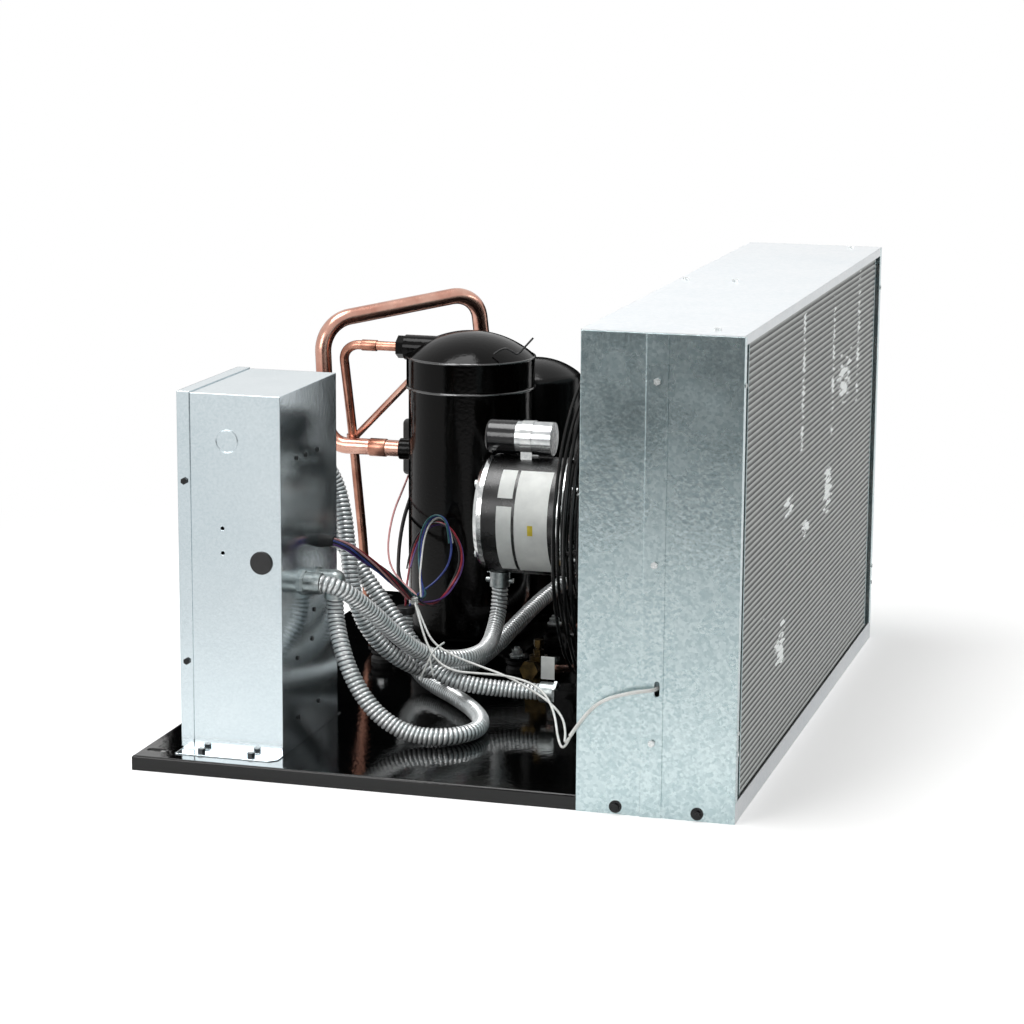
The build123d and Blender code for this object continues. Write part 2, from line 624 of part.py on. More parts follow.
def fan_blades():
    """Pressed blades, cambered and twisted, trimmed to the fan's circle and drilled for rivets."""
    sections = [curved_plate(r, 0, BLADE_T) for r in (BLADE_ROOT_R, BLADE_MIDDLE, FAN_R + 4)]
    blade = loft(sections, ruled=True) & (Rot(0, 90, 0) * Cylinder(FAN_R, 4 * BLADE_CHORD_TIP))
    for pin in rivets():
        blade -= pin
    return spun([blade])


def fan_hub():
    """Bored hub with one twisted arm under each blade."""
    inner, outer = 0.4 * HUB_R, SPIDER_R
    arm = loft([curved_plate(r, -SPIDER_T, 0) for r in (inner, BLADE_ROOT_R, BLADE_MIDDLE)], ruled=True)
    pitch = chord_at((BLADE_ROOT_R + outer) / 2)[1]
    window = Rot(0, -pitch, 0) * Pos(0, (inner + outer) / 2, 0) * Box(4 * HUB_L, outer - inner, SPIDER_ARM_W)
    arm &= window
    for pin in rivets():
        arm -= pin
    hub = Pos(FAN_X, 0, FAN_Z) * Rot(0, 90, 0) * Cylinder(HUB_R, HUB_L)
    for piece in spun([arm]):
        hub += piece
    return hub - rod((BELL_X1, 0, FAN_Z), (CASE_X0, 0, FAN_Z), SHAFT_R)


def fan_rivets():
    """The rivets that hold the blades to the hub's arms."""
    return spun(rivets())


def fan_shaft():
    """Motor shaft from inside the motor's front bearing to just past the hub."""
    return rod((MOTOR_X1 + BEARING_GAP, 0, FAN_Z), (SHAFT_END, 0, FAN_Z), SHAFT_R)


def wire_ring(x, inner, wire):
    """A ring of wire that lies on the spokes, with its inner flats at a radius."""
    outer = inner + 2 * wire
    ring = RegularPolygon(outer, GUARD_RING_SIDES, major_radius=False)
    ring -= RegularPolygon(inner, GUARD_RING_SIDES, major_radius=False)
    half_side = 180 / GUARD_RING_SIDES
    return Pos(x, 0, FAN_Z) * Rot(0, 90, 0) * extrude(Rot(0, 0, half_side) * ring, 2 * wire)


def guard_spoke(turn):
    """One bent spoke from the shroud panel along the side and in over the guard's face."""
    points = [(CASE_X0, 0, SPOKE_R), (SPOKE_X, 0, SPOKE_R), (SPOKE_X, 0, MOUNT_RING_R1 - SPOKE_LAP)]
    spoke = tube(points, GUARD_SPOKE, SPOKE_BEND)
    return Pos(0, 0, FAN_Z) * Rot(turn, 0, 0) * spoke


def fan_guard():
    """Welded basket: spokes, side and face rings, and the ring that carries the motor."""
    wires = [guard_spoke(360 * i / GUARD_SPOKES) for i in range(GUARD_SPOKES)]
    side = SPOKE_R + GUARD_SPOKE
    first = SPOKE_X + SPOKE_BEND
    for i in range(GUARD_SIDE_RINGS):
        wires.append(wire_ring(first + i * GUARD_SIDE_PITCH, side, GUARD_WIRE))
    step = (SPOKE_R - SPOKE_BEND - MOUNT_RING_R1) / GUARD_FACE_RINGS
    for i in range(GUARD_FACE_RINGS):
        wires.append(wire_ring(GUARD_X, MOUNT_RING_R1 + (i + 0.8) * step, GUARD_WIRE))
    plate = Circle(MOUNT_RING_R1) - Circle(MOUNT_RING_R0)
    plate -= PolarLocations(STUD_PCR, 4, 45) * Circle(STUD_R + BOLT_GAP)
    mount = Plane(origin=(MOUNT_RING_X - MOUNT_RING_T, 0, FAN_Z), x_dir=(0, 1, 0), z_dir=(1, 0, 0)) * plate
    wires.append(extrude(mount, MOUNT_RING_T))
    return wires


def stud_places():
    """The motor studs' places round the motor's axis, as (y, z)."""
    turns = [radians(45 + 90 * i) for i in range(4)]
    return [(STUD_PCR * cos(a), FAN_Z + STUD_PCR * sin(a)) for a in turns]


def stud_holes(x0, x1):
    """Cutters for the motor's studs between two places along X."""
    return [rod((x0, y, z), (x1, y, z), STUD_R + BOLT_GAP) for y, z in stud_places()]


def motor_shell():
    """Rolled steel shell of the fan motor."""
    shell = rod((MOTOR_X0, 0, FAN_Z), (MOTOR_X1, 0, FAN_Z), MOTOR_R)
    for hole in stud_holes(MOTOR_X0, MOTOR_X1):
        shell -= hole
    return shell


def motor_bell(x, out, bored):
    """An end bell with a rim round the shell, a dished face and a bearing hub."""
    rim = MOTOR_R + BELL_RIM
    profile = [
        (0, 0), (rim, 0), (rim, 0.5 * BELL_L), (rim - 0.5 * BELL_L, BELL_L), (0.82 * rim, BELL_L),
        (0.72 * rim, 0.55 * BELL_L), (1.5 * BELL_HUB_R, 0.55 * BELL_L), (BELL_HUB_R, BELL_L), (0, BELL_L),
    ]
    bell = turned(profile, (x, 0, FAN_Z), (out, 0, 0))
    for hole in stud_holes(x, x + out * BELL_L):
        bell -= hole
    if bored:
        bell -= rod((x, 0, FAN_Z), (x + out * BELL_L, 0, FAN_Z), SHAFT_R + SHAFT_FIT)
    return bell


def motor_end_bells():
    """Closed rear bell and front bell with the shaft's bearing."""
    return [motor_bell(MOTOR_X0, -1, False), motor_bell(MOTOR_X1, 1, True)]


def motor_studs():
    """Long studs with a head on the rear bell and two nuts that clamp the guard's ring."""
    studs = []
    for y, z in stud_places():
        stud = rod((BELL_X0, y, z), (SPOKE_X + STUD_NUT_H, y, z), STUD_R)
        stud += rod((BELL_X0 - STUD_NUT_H, y, z), (BELL_X0, y, z), STUD_NUT_R)
        stud += hex_bar((MOUNT_RING_X, y, z), (MOUNT_RING_X + STUD_NUT_H, y, z), STUD_NUT_R)
        back = MOUNT_RING_X - MOUNT_RING_T
        stud += hex_bar((back - STUD_NUT_H, y, z), (back, y, z), STUD_NUT_R)
        studs.append(stud)
    return studs


def capacitor_can():
    """Aluminium run capacitor lying along the motor."""
    return rod((CAP_X0 + CAP_BOOT_L, 0, CAP_Z), (CAP_X0 + CAP_L, 0, CAP_Z), CAP_R)


def capacitor_boot():
    """Plastic boot over the capacitor's terminals."""
    boot = rod((CAP_X0, 0, CAP_Z), (CAP_X0 + CAP_BOOT_L, 0, CAP_Z), CAP_R + 0.6)
    return fillet(boot.edges().filter_by(GeomType.CIRCLE).sort_by(Axis.X)[0], 4)


def capacitor_strap():
    """Steel strap round the capacitor, with a foot down to the motor's shell."""
    x0, x1 = CAP_STRAP_X - CAP_STRAP_W / 2, CAP_STRAP_X + CAP_STRAP_W / 2
    outer = CAP_R + CAP_STRAP_T
    strap = rod((x0, 0, CAP_Z), (x1, 0, CAP_Z), outer)
    strap += block(x0, x1, -outer * 0.7, outer * 0.7, FAN_Z + 0.9 * MOTOR_R, CAP_Z - CAP_R * 0.6)
    strap -= rod((x0 - 1, 0, CAP_Z), (x1 + 1, 0, CAP_Z), CAP_R)
    return strap - rod((x0 - 1, 0, FAN_Z), (x1 + 1, 0, FAN_Z), MOTOR_R)


# Compressor


def compressor_shell():
    """Drawn shell with a rounded lower edge."""
    bottom = COMP_FOOT_Z + FOOT_T
    shell = Pos(COMP_X, COMP_Y, (bottom + COMP_SEAM_Z) / 2) * Cylinder(COMP_R, COMP_SEAM_Z - bottom)
    return fillet(shell.faces().sort_by(Axis.Z)[0].edges(), COMP_BOWL_R)


def compressor_top_cap():
    """Top cap with a rounded skirt over the shell, a shallow dome and the discharge boss."""
    skirt = domed(COMP_CAP_R, COMP_SEAM_Z, COMP_CAP_Z, COMP_TOP_Z)
    cap = Pos(COMP_X, COMP_Y, 0) * fillet(rims(skirt, COMP_CAP_R), COMP_CAP_EDGE)
    boss_end = (DISCHARGE_X, DISCHARGE_Y, DISCHARGE_Z)
    return cap + rod((COMP_X, DISCHARGE_Y, DISCHARGE_Z), boss_end, DISCHARGE_BOSS_R)


def compressor_foot_plate():
    """Foot plate with a round ear at each bolt."""
    half = FOOT_SPAN / 2
    outline = Rectangle(FOOT_SPAN, 0.62 * FOOT_SPAN) + Rectangle(0.62 * FOOT_SPAN, FOOT_SPAN)
    ears = [Pos(i * half, j * half) * Circle(FOOT_EAR_R) for i in (-1, 1) for j in (-1, 1)]
    arms = [Rot(0, 0, a) * Rectangle(2 * half * sqrt(2), 1.6 * FOOT_EAR_R) for a in (45, 135)]
    for piece in ears + arms:
        outline += piece
    for i in (-1, 1):
        for j in (-1, 1):
            outline -= Pos(i * half, j * half) * Circle(FOOT_BOLT_R + BOLT_GAP)
    return extrude(Pos(COMP_X, COMP_Y, COMP_FOOT_Z) * outline, FOOT_T)


def compressor_grommets():
    """Waisted rubber grommets between the pan and the foot plate."""
    height = COMP_FOOT_Z - FLOOR
    bore = FOOT_BOLT_R + BOLT_GAP
    profile = [
        (bore, 0), (GROMMET_R, 0), (GROMMET_R, 0.3 * height), (0.8 * GROMMET_R, 0.5 * height),
        (GROMMET_R, 0.7 * height), (GROMMET_R, height), (bore, height),
    ]
    return [turned(profile, (x, y, FLOOR)) for x, y in foot_places()]


def compressor_bolts():
    """Bolts through pan, grommet and foot, with a washer and a nut on top."""
    bolts = []
    top = COMP_FOOT_Z + FOOT_T
    for x, y in foot_places():
        bolt = rod((x, y, BASE_H - BASE_T), (x, y, top + 12), FOOT_BOLT_R)
        bolt += hex_bar((x, y, BASE_H - BASE_T - 5), (x, y, BASE_H - BASE_T), 7.4)
        bolt += rod((x, y, top), (x, y, top + 1.6), 10)
        bolt += hex_bar((x, y, top + 1.6), (x, y, top + 8), 7.4)
        bolts.append(bolt)
    return bolts


def compressor_terminal_box():
    """Moulded box over the compressor's terminals, shaped to the shell behind it."""
    x, y = TERMINAL_CENTRE
    height = TERMINAL_H
    box = Box(TERMINAL_D, TERMINAL_W, height)
    box = fillet(box.edges().filter_by(Axis.X), 7)
    box = fillet(box.faces().sort_by(Axis.X)[-1].edges(), 3)
    box = Pos(-6, 0, 0) * Box(TERMINAL_D, TERMINAL_W - 16, height - 16) + box
    place = Pos(x, y, TERMINAL_Z + height / 2) * Rot(0, 0, TERMINAL_TURN)
    shell = Pos(COMP_X, COMP_Y, TERMINAL_Z + height / 2) * Cylinder(COMP_R, 2 * height)
    return place * box - shell


def compressor_fittings():
    """Discharge nut on the cap's boss and the collar of the suction stub on the shell."""
    nut = hex_bar(
        (DISCHARGE_X - NUT_L, DISCHARGE_Y, DISCHARGE_Z), (DISCHARGE_X, DISCHARGE_Y, DISCHARGE_Z), NUT_R
    )
    collar = rod((COMP_X, SUCTION_Y, SUCTION_Z), (SUCTION_X, SUCTION_Y, SUCTION_Z), SUCTION_COLLAR_R)
    shell = Pos(COMP_X, COMP_Y, SUCTION_Z) * Cylinder(COMP_R, 4 * SUCTION_COLLAR_R)
    return [nut, collar - shell]


# Copper lines


def suction_line():
    """Large suction loop from the compressor up, over to the rear and down to its valve."""
    points = [
        (SUCTION_X, SUCTION_Y, SUCTION_Z), (SUCTION_ELBOW_X, SUCTION_Y, SUCTION_Z), SUCTION_RISE,
        SUCTION_CREST, (SUCTION_VALVE_X, SUCTION_VALVE_Y, SUCTION_DROP_Z),
        (SUCTION_VALVE_X, SUCTION_VALVE_Y, SUCTION_VALVE_Z + VALVE_R),
    ]
    return tube(points, SUCTION_R, SUCTION_BENDS)


def discharge_line():
    """Discharge line from the cap, down behind the control box and round the rear to the coil."""
    gas_y, gas_z = GAS_AT
    points = [
        (DISCHARGE_X - NUT_L, DISCHARGE_Y, DISCHARGE_Z), (DISCHARGE_ELBOW_X, DISCHARGE_Y, DISCHARGE_Z),
        DROP_TOP, DROP_END, DISCHARGE_LOW, (*DISCHARGE_SIDE, gas_z), (DISCHARGE_REAR_X, gas_y, gas_z),
        (CASE_X0 + HEADER_START, gas_y, gas_z),
    ]
    return tube(points, DISCHARGE_R, DISCHARGE_BENDS)


def band_place():
    """The middle of the band on the discharge line, level with the branch."""
    share = (DROP_TOP[2] - BAND_Z) / (DROP_TOP[2] - DROP_END[2])
    return tuple(a + share * (b - a) for a, b in zip(DROP_TOP, DROP_END))


def branch_line():
    """Thin line from the top cap down to the band on the discharge line, with that band."""
    x, y, z = band_place()
    band = rod((x, y, z - BAND_H / 2), (x, y, z + BAND_H / 2), BAND_R)
    line = rod((COMP_X - COMP_CAP_R + BRANCH_LAP, SUCTION_Y, BRANCH_Z), (x, y, z), LIQUID_R)
    cap = Pos(COMP_X, COMP_Y, BRANCH_Z) * Cylinder(COMP_CAP_R, COMP_CAP_R)
    return band + line - cap - discharge_line()


def liquid_lines():
    """Line from the coil's liquid header to the receiver, and line from it to the shut-off valve."""
    y, z = CONDENSATE_AT
    inlet = rod((CASE_X0 + HEADER_START, y, z), (TANK_TOP_SPUD + SPUD_L, y, z), LIQUID_R)
    points = [
        (TANK_TOP_SPUD + SPUD_L, OUTLET_Y, OUTLET_Z), (LIQUID_OUT_X, OUTLET_Y, OUTLET_Z),
        (LIQUID_SIDE[0], LIQUID_REAR_Y, LIQUID_SIDE[1]), (LIQUID_SIDE[0], LIQUID_FRONT_Y, LIQUID_SIDE[1]),
        (SHUTOFF_X + 26, SHUTOFF_Y, SHUTOFF_Z), (SHUTOFF_X + VALVE_R - 3, SHUTOFF_Y, SHUTOFF_Z),
    ]
    return [inlet, tube(points, LIQUID_R, LIQUID_BENDS)]


# Receiver and valves


def receiver_tank():
    """Receiver with domed ends and a spud for each line."""
    tank = domed(TANK_R, TANK_Z0 + 30, TANK_Z1 - 24, TANK_Z1)
    tank = fillet(rims(tank, TANK_R)[-1], TANK_EDGE)
    tank += Pos(0, 0, TANK_Z0 + 30) * mirror(domed(TANK_R, 0, 6, 30), Plane.XY)
    tank = Pos(TANK_X, TANK_Y, 0) * tank
    for y, z in (CONDENSATE_AT, (OUTLET_Y, OUTLET_Z)):
        tank += rod((TANK_X, y, z), (TANK_TOP_SPUD + SPUD_L, y, z), SPUD_R)
    rear_end = (TANK_X, TANK_Y + TANK_R + 2, LIQUID_VALVE_Z)
    return tank + rod((TANK_X, TANK_Y, LIQUID_VALVE_Z), rear_end, SPUD_R)


def receiver_foot():
    """Ring foot under the receiver, with a flange on the pan."""
    low = TANK_Z0 + 14
    profile = [
        (TANK_FOOT_R, 0), (TANK_FOOT_R + TANK_FOOT_W, 0), (TANK_FOOT_R + TANK_FOOT_W, TANK_FOOT_T),
        (TANK_FOOT_R + TANK_FOOT_T, TANK_FOOT_T), (TANK_FOOT_R + TANK_FOOT_T, low - FLOOR),
        (TANK_FOOT_R, low - FLOOR),
    ]
    foot = turned(profile, (TANK_X, TANK_Y, FLOOR))
    return foot - receiver_tank()


def line_valve(x, y, z, port_r, stem_side):
    """Service valve: body, port along +Y, stem with its cap, and a gauge port."""
    body = Pos(x, y, z) * Box(2 * VALVE_R, 2 * VALVE_R, 2 * VALVE_R)
    body = fillet(body.edges().filter_by(Axis.Z), 5)
    body += rod((x, y, z), (x, PORT_REACH, z), port_r)
    body += rod((x, y, z), (x + stem_side * (VALVE_R + 8), y, z), 9)
    body += hex_bar((x + stem_side * (VALVE_R + 8), y, z), (x + stem_side * (VALVE_R + 24), y, z), 10.5)
    return body - rod((x, PORT_REACH - PORT_DEPTH, z), (x, PORT_REACH, z), port_r - PORT_WALL)


def suction_valve():
    """Suction service valve on its bracket, with the line's open port to the rear."""
    x, y, z = SUCTION_VALVE_X, SUCTION_VALVE_Y, SUCTION_VALVE_Z
    valve = line_valve(x, y, z, SUCTION_PORT_R, -1)
    bracket = block(x - 12, x + 12, y - 6, y + 6, FLOOR, z - VALVE_R)
    return valve + bracket + block(x - 22, x + 22, y - 12, y + 12, FLOOR, FLOOR + 3)


def liquid_valve():
    """Liquid service valve on the receiver's rear spud, with its open port to the rear."""
    y = TANK_Y + TANK_R + 2 + VALVE_R
    return line_valve(TANK_X, y, LIQUID_VALVE_Z, LIQUID_PORT_R, 1)


def shutoff_valve():
    """Small shut-off valve in the liquid line: body, capped stem and a capped port to the front."""
    x, y, z = SHUTOFF_X, SHUTOFF_Y, SHUTOFF_Z
    valve = rod((x, y, z - 22), (x, y, z + 16), VALVE_R - 3)
    valve += hex_bar((x, y, z + 16), (x, y, z + 24), 7.5)
    valve += rod((x, y, z + 24), (x, y, z + 28), 4)
    valve += hex_bar((x, y, z + 28), (x, y, z + 37), 6.6)
    valve += rod((x, y, z), (x - 4, y - 24, z + 2), 9)
    valve += hex_bar((x - 3.6, y - 20, z + 1.6), (x - 5, y - 30, z + 2.5), 13)
    return valve + block(x - 14, x + 14, y - 14, y + 14, FLOOR, z - 22)


def pressure_switch():
    """Fan-cycling pressure switch: bracket, case and round bellows housing."""
    x, y, z = SWITCH_X, SWITCH_Y, SWITCH_Z
    case = fillet(block(x, x + 34, y - 20, y + 20, FLOOR + 3, z + 9).edges().filter_by(Axis.Z), 4)
    case += rod((x + 17, y - 34, z - 10), (x + 17, y - 20, z - 10), 13)
    return case + block(x - 6, x + 40, y - 24, y + 24, FLOOR, FLOOR + 3)


# Control box


def control_box_body():
    """Box of folded sheet, open to the left, with foot flanges, knockouts and conduit holes."""
    x0, x1, y0, y1, t = BOX_X0, BOX_X1, BOX_Y0, BOX_Y1, BOX_SHEET
    body = block(x0, x1, y0, y1, FLOOR, BOX_TOP)
    body -= block(x0 - 1, x1 - t, y0 + t, y1 - t, FLOOR + t, BOX_TOP - t)
    corner = [
        (x0, y0), (x0, y0 - FOOT_FLANGE), (x1 - FOOT_CHAMFER, y0 - FOOT_FLANGE),
        (x1, y0 - FOOT_FLANGE + FOOT_CHAMFER), (x1, y0),
    ]
    body += extrude(Pos(0, 0, FLOOR) * Polygon(*corner, align=None), t)
    body += block(x0, x1, y1, y1 + FOOT_FLANGE / 2, FLOOR, FLOOR + t)
    body -= rod((PLUG_X, y0 - 1, PLUG_Z), (PLUG_X, y0 + 2, PLUG_Z), PLUG_R)
    for z in PILOT_Z:
        body -= rod((PILOT_X, y0 - 1, z), (PILOT_X, y0 + 2, z), PILOT_R)
    groove = rod((KNOCKOUT_X, y0 - 1, KNOCKOUT_Z), (KNOCKOUT_X, y0 + 0.4, KNOCKOUT_Z), KNOCKOUT_R)
    groove -= rod((KNOCKOUT_X, y0 - 2, KNOCKOUT_Z), (KNOCKOUT_X, y0 + 1, KNOCKOUT_Z), KNOCKOUT_R - 1)
    body -= groove
    for start, *_ in (CONDUIT_MOTOR_PATH, CONDUIT_LOOP_PATH):
        z = start[2] if start == CONDUIT_MOTOR_PATH[0] else ELBOW_Z
        body -= rod((x1 - 3, start[1], z), (x1 + 1, start[1], z), CONNECTOR_R - HOLE_LAP)
    body -= rod((x1 - 3, HARNESS_Y, HARNESS_Z), (x1 + 1, HARNESS_Y, HARNESS_Z), HARNESS_R)
    for start in (CONDUIT_SHROUD_PATH[0], CONDUIT_SWITCH_PATH[0]):
        body -= rod((start[0], y1 - 3, start[2]), (start[0], y1 + 1, start[2]), CONNECTOR_R - HOLE_LAP)
    return body


def control_box_cover():
    """Lift-off cover with lips that wrap round the front, rear and top of the box."""
    t = BOX_SHEET
    outer = block(COVER_X0, BOX_X0 + COVER_LIP, BOX_Y0 - t, BOX_Y1 + t, FLOOR + COVER_GAP, BOX_TOP + t)
    inner = block(BOX_X0, BOX_X0 + COVER_LIP + 1, BOX_Y0, BOX_Y1, FLOOR, BOX_TOP)
    return outer - inner


def box_screws():
    """Screws of the cover, the box's foot, and the parts mounted on its right wall."""
    screws = []
    for z in COVER_SCREW_Z:
        place = (BOX_X0 + COVER_LIP / 2, BOX_Y0 - BOX_SHEET, z)
        screws.append(screw(place, (0, -1, 0), HEX_SCREW_R, HEX_SCREW_H))
    for x in (BOX_X0 + 28, BOX_X1 - 37):
        place = (x, BOX_Y0 - 0.4 * FOOT_FLANGE, FLOOR + BOX_SHEET)
        screws.append(screw(place, (0, 0, 1), HEX_SCREW_R + 0.8, HEX_SCREW_H + 1))
    for y, z in FACE_SCREWS:
        screws.append(screw((BOX_X1, y, z), (1, 0, 0), SMALL_SCREW_R, SMALL_SCREW_H, 0))
    return screws


def hole_plug():
    """Snap-in plug in the front knockout."""
    y = BOX_Y0
    head = rod((PLUG_X, y, PLUG_Z), (PLUG_X, y - 2.4, PLUG_Z), PLUG_HEAD_R)
    head = fillet(head.edges().sort_by(Axis.Y)[0], 1)
    return head + rod((PLUG_X, y, PLUG_Z), (PLUG_X, y + 4, PLUG_Z), PLUG_R - HOLE_FIT)


def contactor_place():
    """The contactor's corner values: x range, y range and z range inside the box."""
    depth, width, height = CONTACTOR
    x1 = BOX_X1 - BOX_SHEET
    return (x1 - depth, x1, CONTACTOR_Y - width / 2, CONTACTOR_Y + width / 2, CONTACTOR_Z - height / 2,
            CONTACTOR_Z + height / 2)


def contactor_base():
    """Contactor on the box's right wall, with terminal ledges and a well for its armature."""
    x0, x1, y0, y1, z0, z1 = contactor_place()
    ledge = 0.24 * (z1 - z0)
    body = block(x0, x1, y0, y1, z0 + ledge, z1 - ledge) + block(x0 + 22, x1, y0, y1, z0, z1)
    y, z = (y0 + y1) / 2, (z0 + z1) / 2
    return body - block(x0 - 1, x0 + ARMATURE_DEPTH, y - ARMATURE_W / 2, y + ARMATURE_W / 2,
                        z - ARMATURE_W / 4, z + ARMATURE_W / 4)


def contactor_armature():
    """Spring-loaded armature carrier in the contactor's well."""
    x0, _, y0, y1, z0, z1 = contactor_place()
    y, z = (y0 + y1) / 2, (z0 + z1) / 2
    half, low = ARMATURE_W / 2 - ARMATURE_FIT, ARMATURE_W / 4 - ARMATURE_FIT
    inner = x0 + ARMATURE_DEPTH - ARMATURE_TRAVEL - ARMATURE_FIT
    return block(x0 - 5, inner, y - half, y + half, z - low, z + low)


def terminal_block():
    """Terminal strip on the box's right wall, with a barrier between each pair of ways."""
    x1 = BOX_X1 - BOX_SHEET
    y0, z = CONTACTOR_Y - 40, 150
    strip = block(x1 - 14, x1, y0, y0 + 80, z - 14, z + 14)
    for i in range(9):
        strip += block(x1 - 22, x1 - 14, y0 + 9.75 * i, y0 + 9.75 * i + 2, z - 14, z + 14)
    return strip


# Conduits, cables and wires


def connector(face, out, length):
    """Straight conduit connector: a locknut on the wall and a body, outwards from the wall."""
    face, out = Vector(*face), Vector(*out)
    body = rod(face + out * LOCKNUT_L, face + out * length, CONNECTOR_R)
    return body + hex_bar(face, face + out * LOCKNUT_L, LOCKNUT_R)


def clamp_screws(centre, across):
    """The two ears and screws that squeeze a connector's mouth."""
    centre, across = Vector(*centre), Vector(*across)
    return rod(centre - across * (CONNECTOR_R + 5), centre + across * (CONNECTOR_R + 5), 3.4)


def elbow_connector():
    """Right-angle connector from the box's wall down to the loop conduit."""
    x, y, z = CONDUIT_LOOP_PATH[0]
    body = hex_bar((BOX_X1, y, ELBOW_Z), (BOX_X1 + LOCKNUT_L, y, ELBOW_Z), LOCKNUT_R)
    body += rod((BOX_X1 + LOCKNUT_L, y, ELBOW_Z), (x, y, ELBOW_Z), CONNECTOR_R)
    body += Pos(x, y, ELBOW_Z) * Sphere(CONNECTOR_R)
    return body + rod((x, y, ELBOW_Z), (x, y, z), CONNECTOR_R)


def conduit_connectors():
    """Every conduit's end fitting on the box, motor, shroud and switch, and its knot of wires."""
    motor = CONDUIT_MOTOR_PATH
    start, end = motor[0], motor[-1]
    fittings = [connector((BOX_X1, start[1], start[2]), (1, 0, 0), start[0] - BOX_X1), elbow_connector()]
    neck = rod((end[0], 0, FAN_Z - MOTOR_R + CONNECTOR_R), (end[0], 0, end[2]), CONNECTOR_R)
    neck -= rod((BELL_X0 - 20, 0, FAN_Z), (MOTOR_X1, 0, FAN_Z), MOTOR_R + BELL_RIM)
    fittings.append(neck + clamp_screws((end[0], 0, end[2] + 8), (1, 0, 0)))
    for x, _, z in (CONDUIT_SHROUD_PATH[0], CONDUIT_SWITCH_PATH[0]):
        fittings.append(connector((x, BOX_Y1, z), (0, 1, 0), CONDUIT_SHROUD_PATH[0][1] - BOX_Y1))
    x, y, z = CONDUIT_SHROUD_PATH[-1]
    fittings.append(connector((CASE_X0, y, z), (-1, 0, 0), CASE_X0 - x))
    x, y, z = CONDUIT_SWITCH_PATH[-1]
    fittings.append(connector((SWITCH_X, y, z), (-1, 0, 0), SWITCH_X - x))
    return fittings


def loose_pieces():
    """The conduits, cables and wires, each as its own node."""
    routes = {
        "conduit_motor": (CONDUIT_MOTOR_PATH, CONDUIT_R),
        "conduit_loop": (CONDUIT_LOOP_PATH, CONDUIT_R),
        "conduit_shroud": (CONDUIT_SHROUD_PATH, CONDUIT_R),
        "conduit_switch": (CONDUIT_SWITCH_PATH, CONDUIT_R),
        "sensor_cable": (SENSOR_CABLE_PATH, CABLE_R),
        "sensor_wire_front": (SENSOR_WIRE_FRONT_PATH, WIRE_R),
        "sensor_wire_rear": (SENSOR_WIRE_REAR_PATH, WIRE_R),
        "control_harness": (HARNESS_PATH, HARNESS_R),
        "harness_loop_red": (LOOP_RED_PATH, WIRE_R),
        "harness_loop_blue": (LOOP_BLUE_PATH, WIRE_R),
        "terminal_wire": (TERMINAL_WIRE_PATH, WIRE_R),
        "terminal_cable": (TERMINAL_CABLE_PATH, BLACK_WIRE_R),
    }
    return {name: cord(name, points, radius) for name, (points, radius) in routes.items()}


def build():
    """All the nodes of the unit by name."""
    makers = (
        base_pan, shroud_panel, shroud_sides, coil_sides, condenser_top, coil_bottom_rail, casing_screws,
        base_screws, coil_tube_sheets, coil_fin_pack, coil_return_bends, coil_headers, fan_blades, fan_hub,
        fan_rivets, fan_shaft, fan_guard, motor_shell, motor_end_bells, motor_studs, capacitor_can,
        capacitor_boot, capacitor_strap, compressor_shell, compressor_top_cap, compressor_foot_plate,
        compressor_grommets, compressor_bolts, compressor_terminal_box, compressor_fittings, suction_line,
        discharge_line, branch_line, liquid_lines, receiver_tank, receiver_foot,
        suction_valve, liquid_valve, shutoff_valve, pressure_switch, control_box_body, control_box_cover,
        box_screws, hole_plug, contactor_base, contactor_armature, terminal_block, conduit_connectors,
    )
    nodes = {maker.__name__: maker() for maker in makers}
    nodes.update(loose_pieces())
    return nodes


def export_all(nodes):
    """Write each node to its own STEP file."""
    os.makedirs("parts", exist_ok=True)
    for name, shapes in nodes.items():
        solids = []
        for shape in shapes if isinstance(shapes, list) else [shapes]:
            solids.extend(shape.solids())
        piece = solids[0] if len(solids) == 1 else Compound(children=solids)
        piece.label = name
        export_step(piece, f"parts/{name}.step")


export_all(build())
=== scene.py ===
"""Looks of an air-cooled refrigeration condensing unit, in metres, in the frame of its solids.

+Z is up, +X is the coil face and -Y is the side that the control box faces. Each sub-assembly is
a class: its fields are sizes, and its methods dress its solids and model its finer pieces.
"""

import logging
import math
from dataclasses import dataclass
from enum import Enum
from typing import Iterable, Optional, Sequence, Union

import bpy
from mathutils import Matrix, Vector


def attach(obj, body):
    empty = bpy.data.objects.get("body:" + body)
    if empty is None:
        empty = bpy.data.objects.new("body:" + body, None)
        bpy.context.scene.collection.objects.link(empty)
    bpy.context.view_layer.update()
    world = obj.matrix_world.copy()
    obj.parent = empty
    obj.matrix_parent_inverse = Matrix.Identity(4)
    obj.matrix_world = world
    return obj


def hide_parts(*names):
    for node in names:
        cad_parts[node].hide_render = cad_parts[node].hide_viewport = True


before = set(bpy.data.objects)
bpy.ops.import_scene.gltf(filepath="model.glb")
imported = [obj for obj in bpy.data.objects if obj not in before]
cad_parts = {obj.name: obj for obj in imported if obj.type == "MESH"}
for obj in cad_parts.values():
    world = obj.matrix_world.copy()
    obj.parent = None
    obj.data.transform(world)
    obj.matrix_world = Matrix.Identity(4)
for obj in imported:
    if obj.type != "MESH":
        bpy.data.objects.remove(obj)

LOG = logging.getLogger("condensing_unit")
MM = 0.001
UNIT = "unit"
ROTOR = "fan_rotor"
FAN_Z = 246.0 * MM                  # height of the fan's axis, which guard and motor share
Point = tuple[float, float, float]
Item = bpy.types.Object
Socket = bpy.types.NodeSocket
Value = Union[float, Sequence[float], Socket]


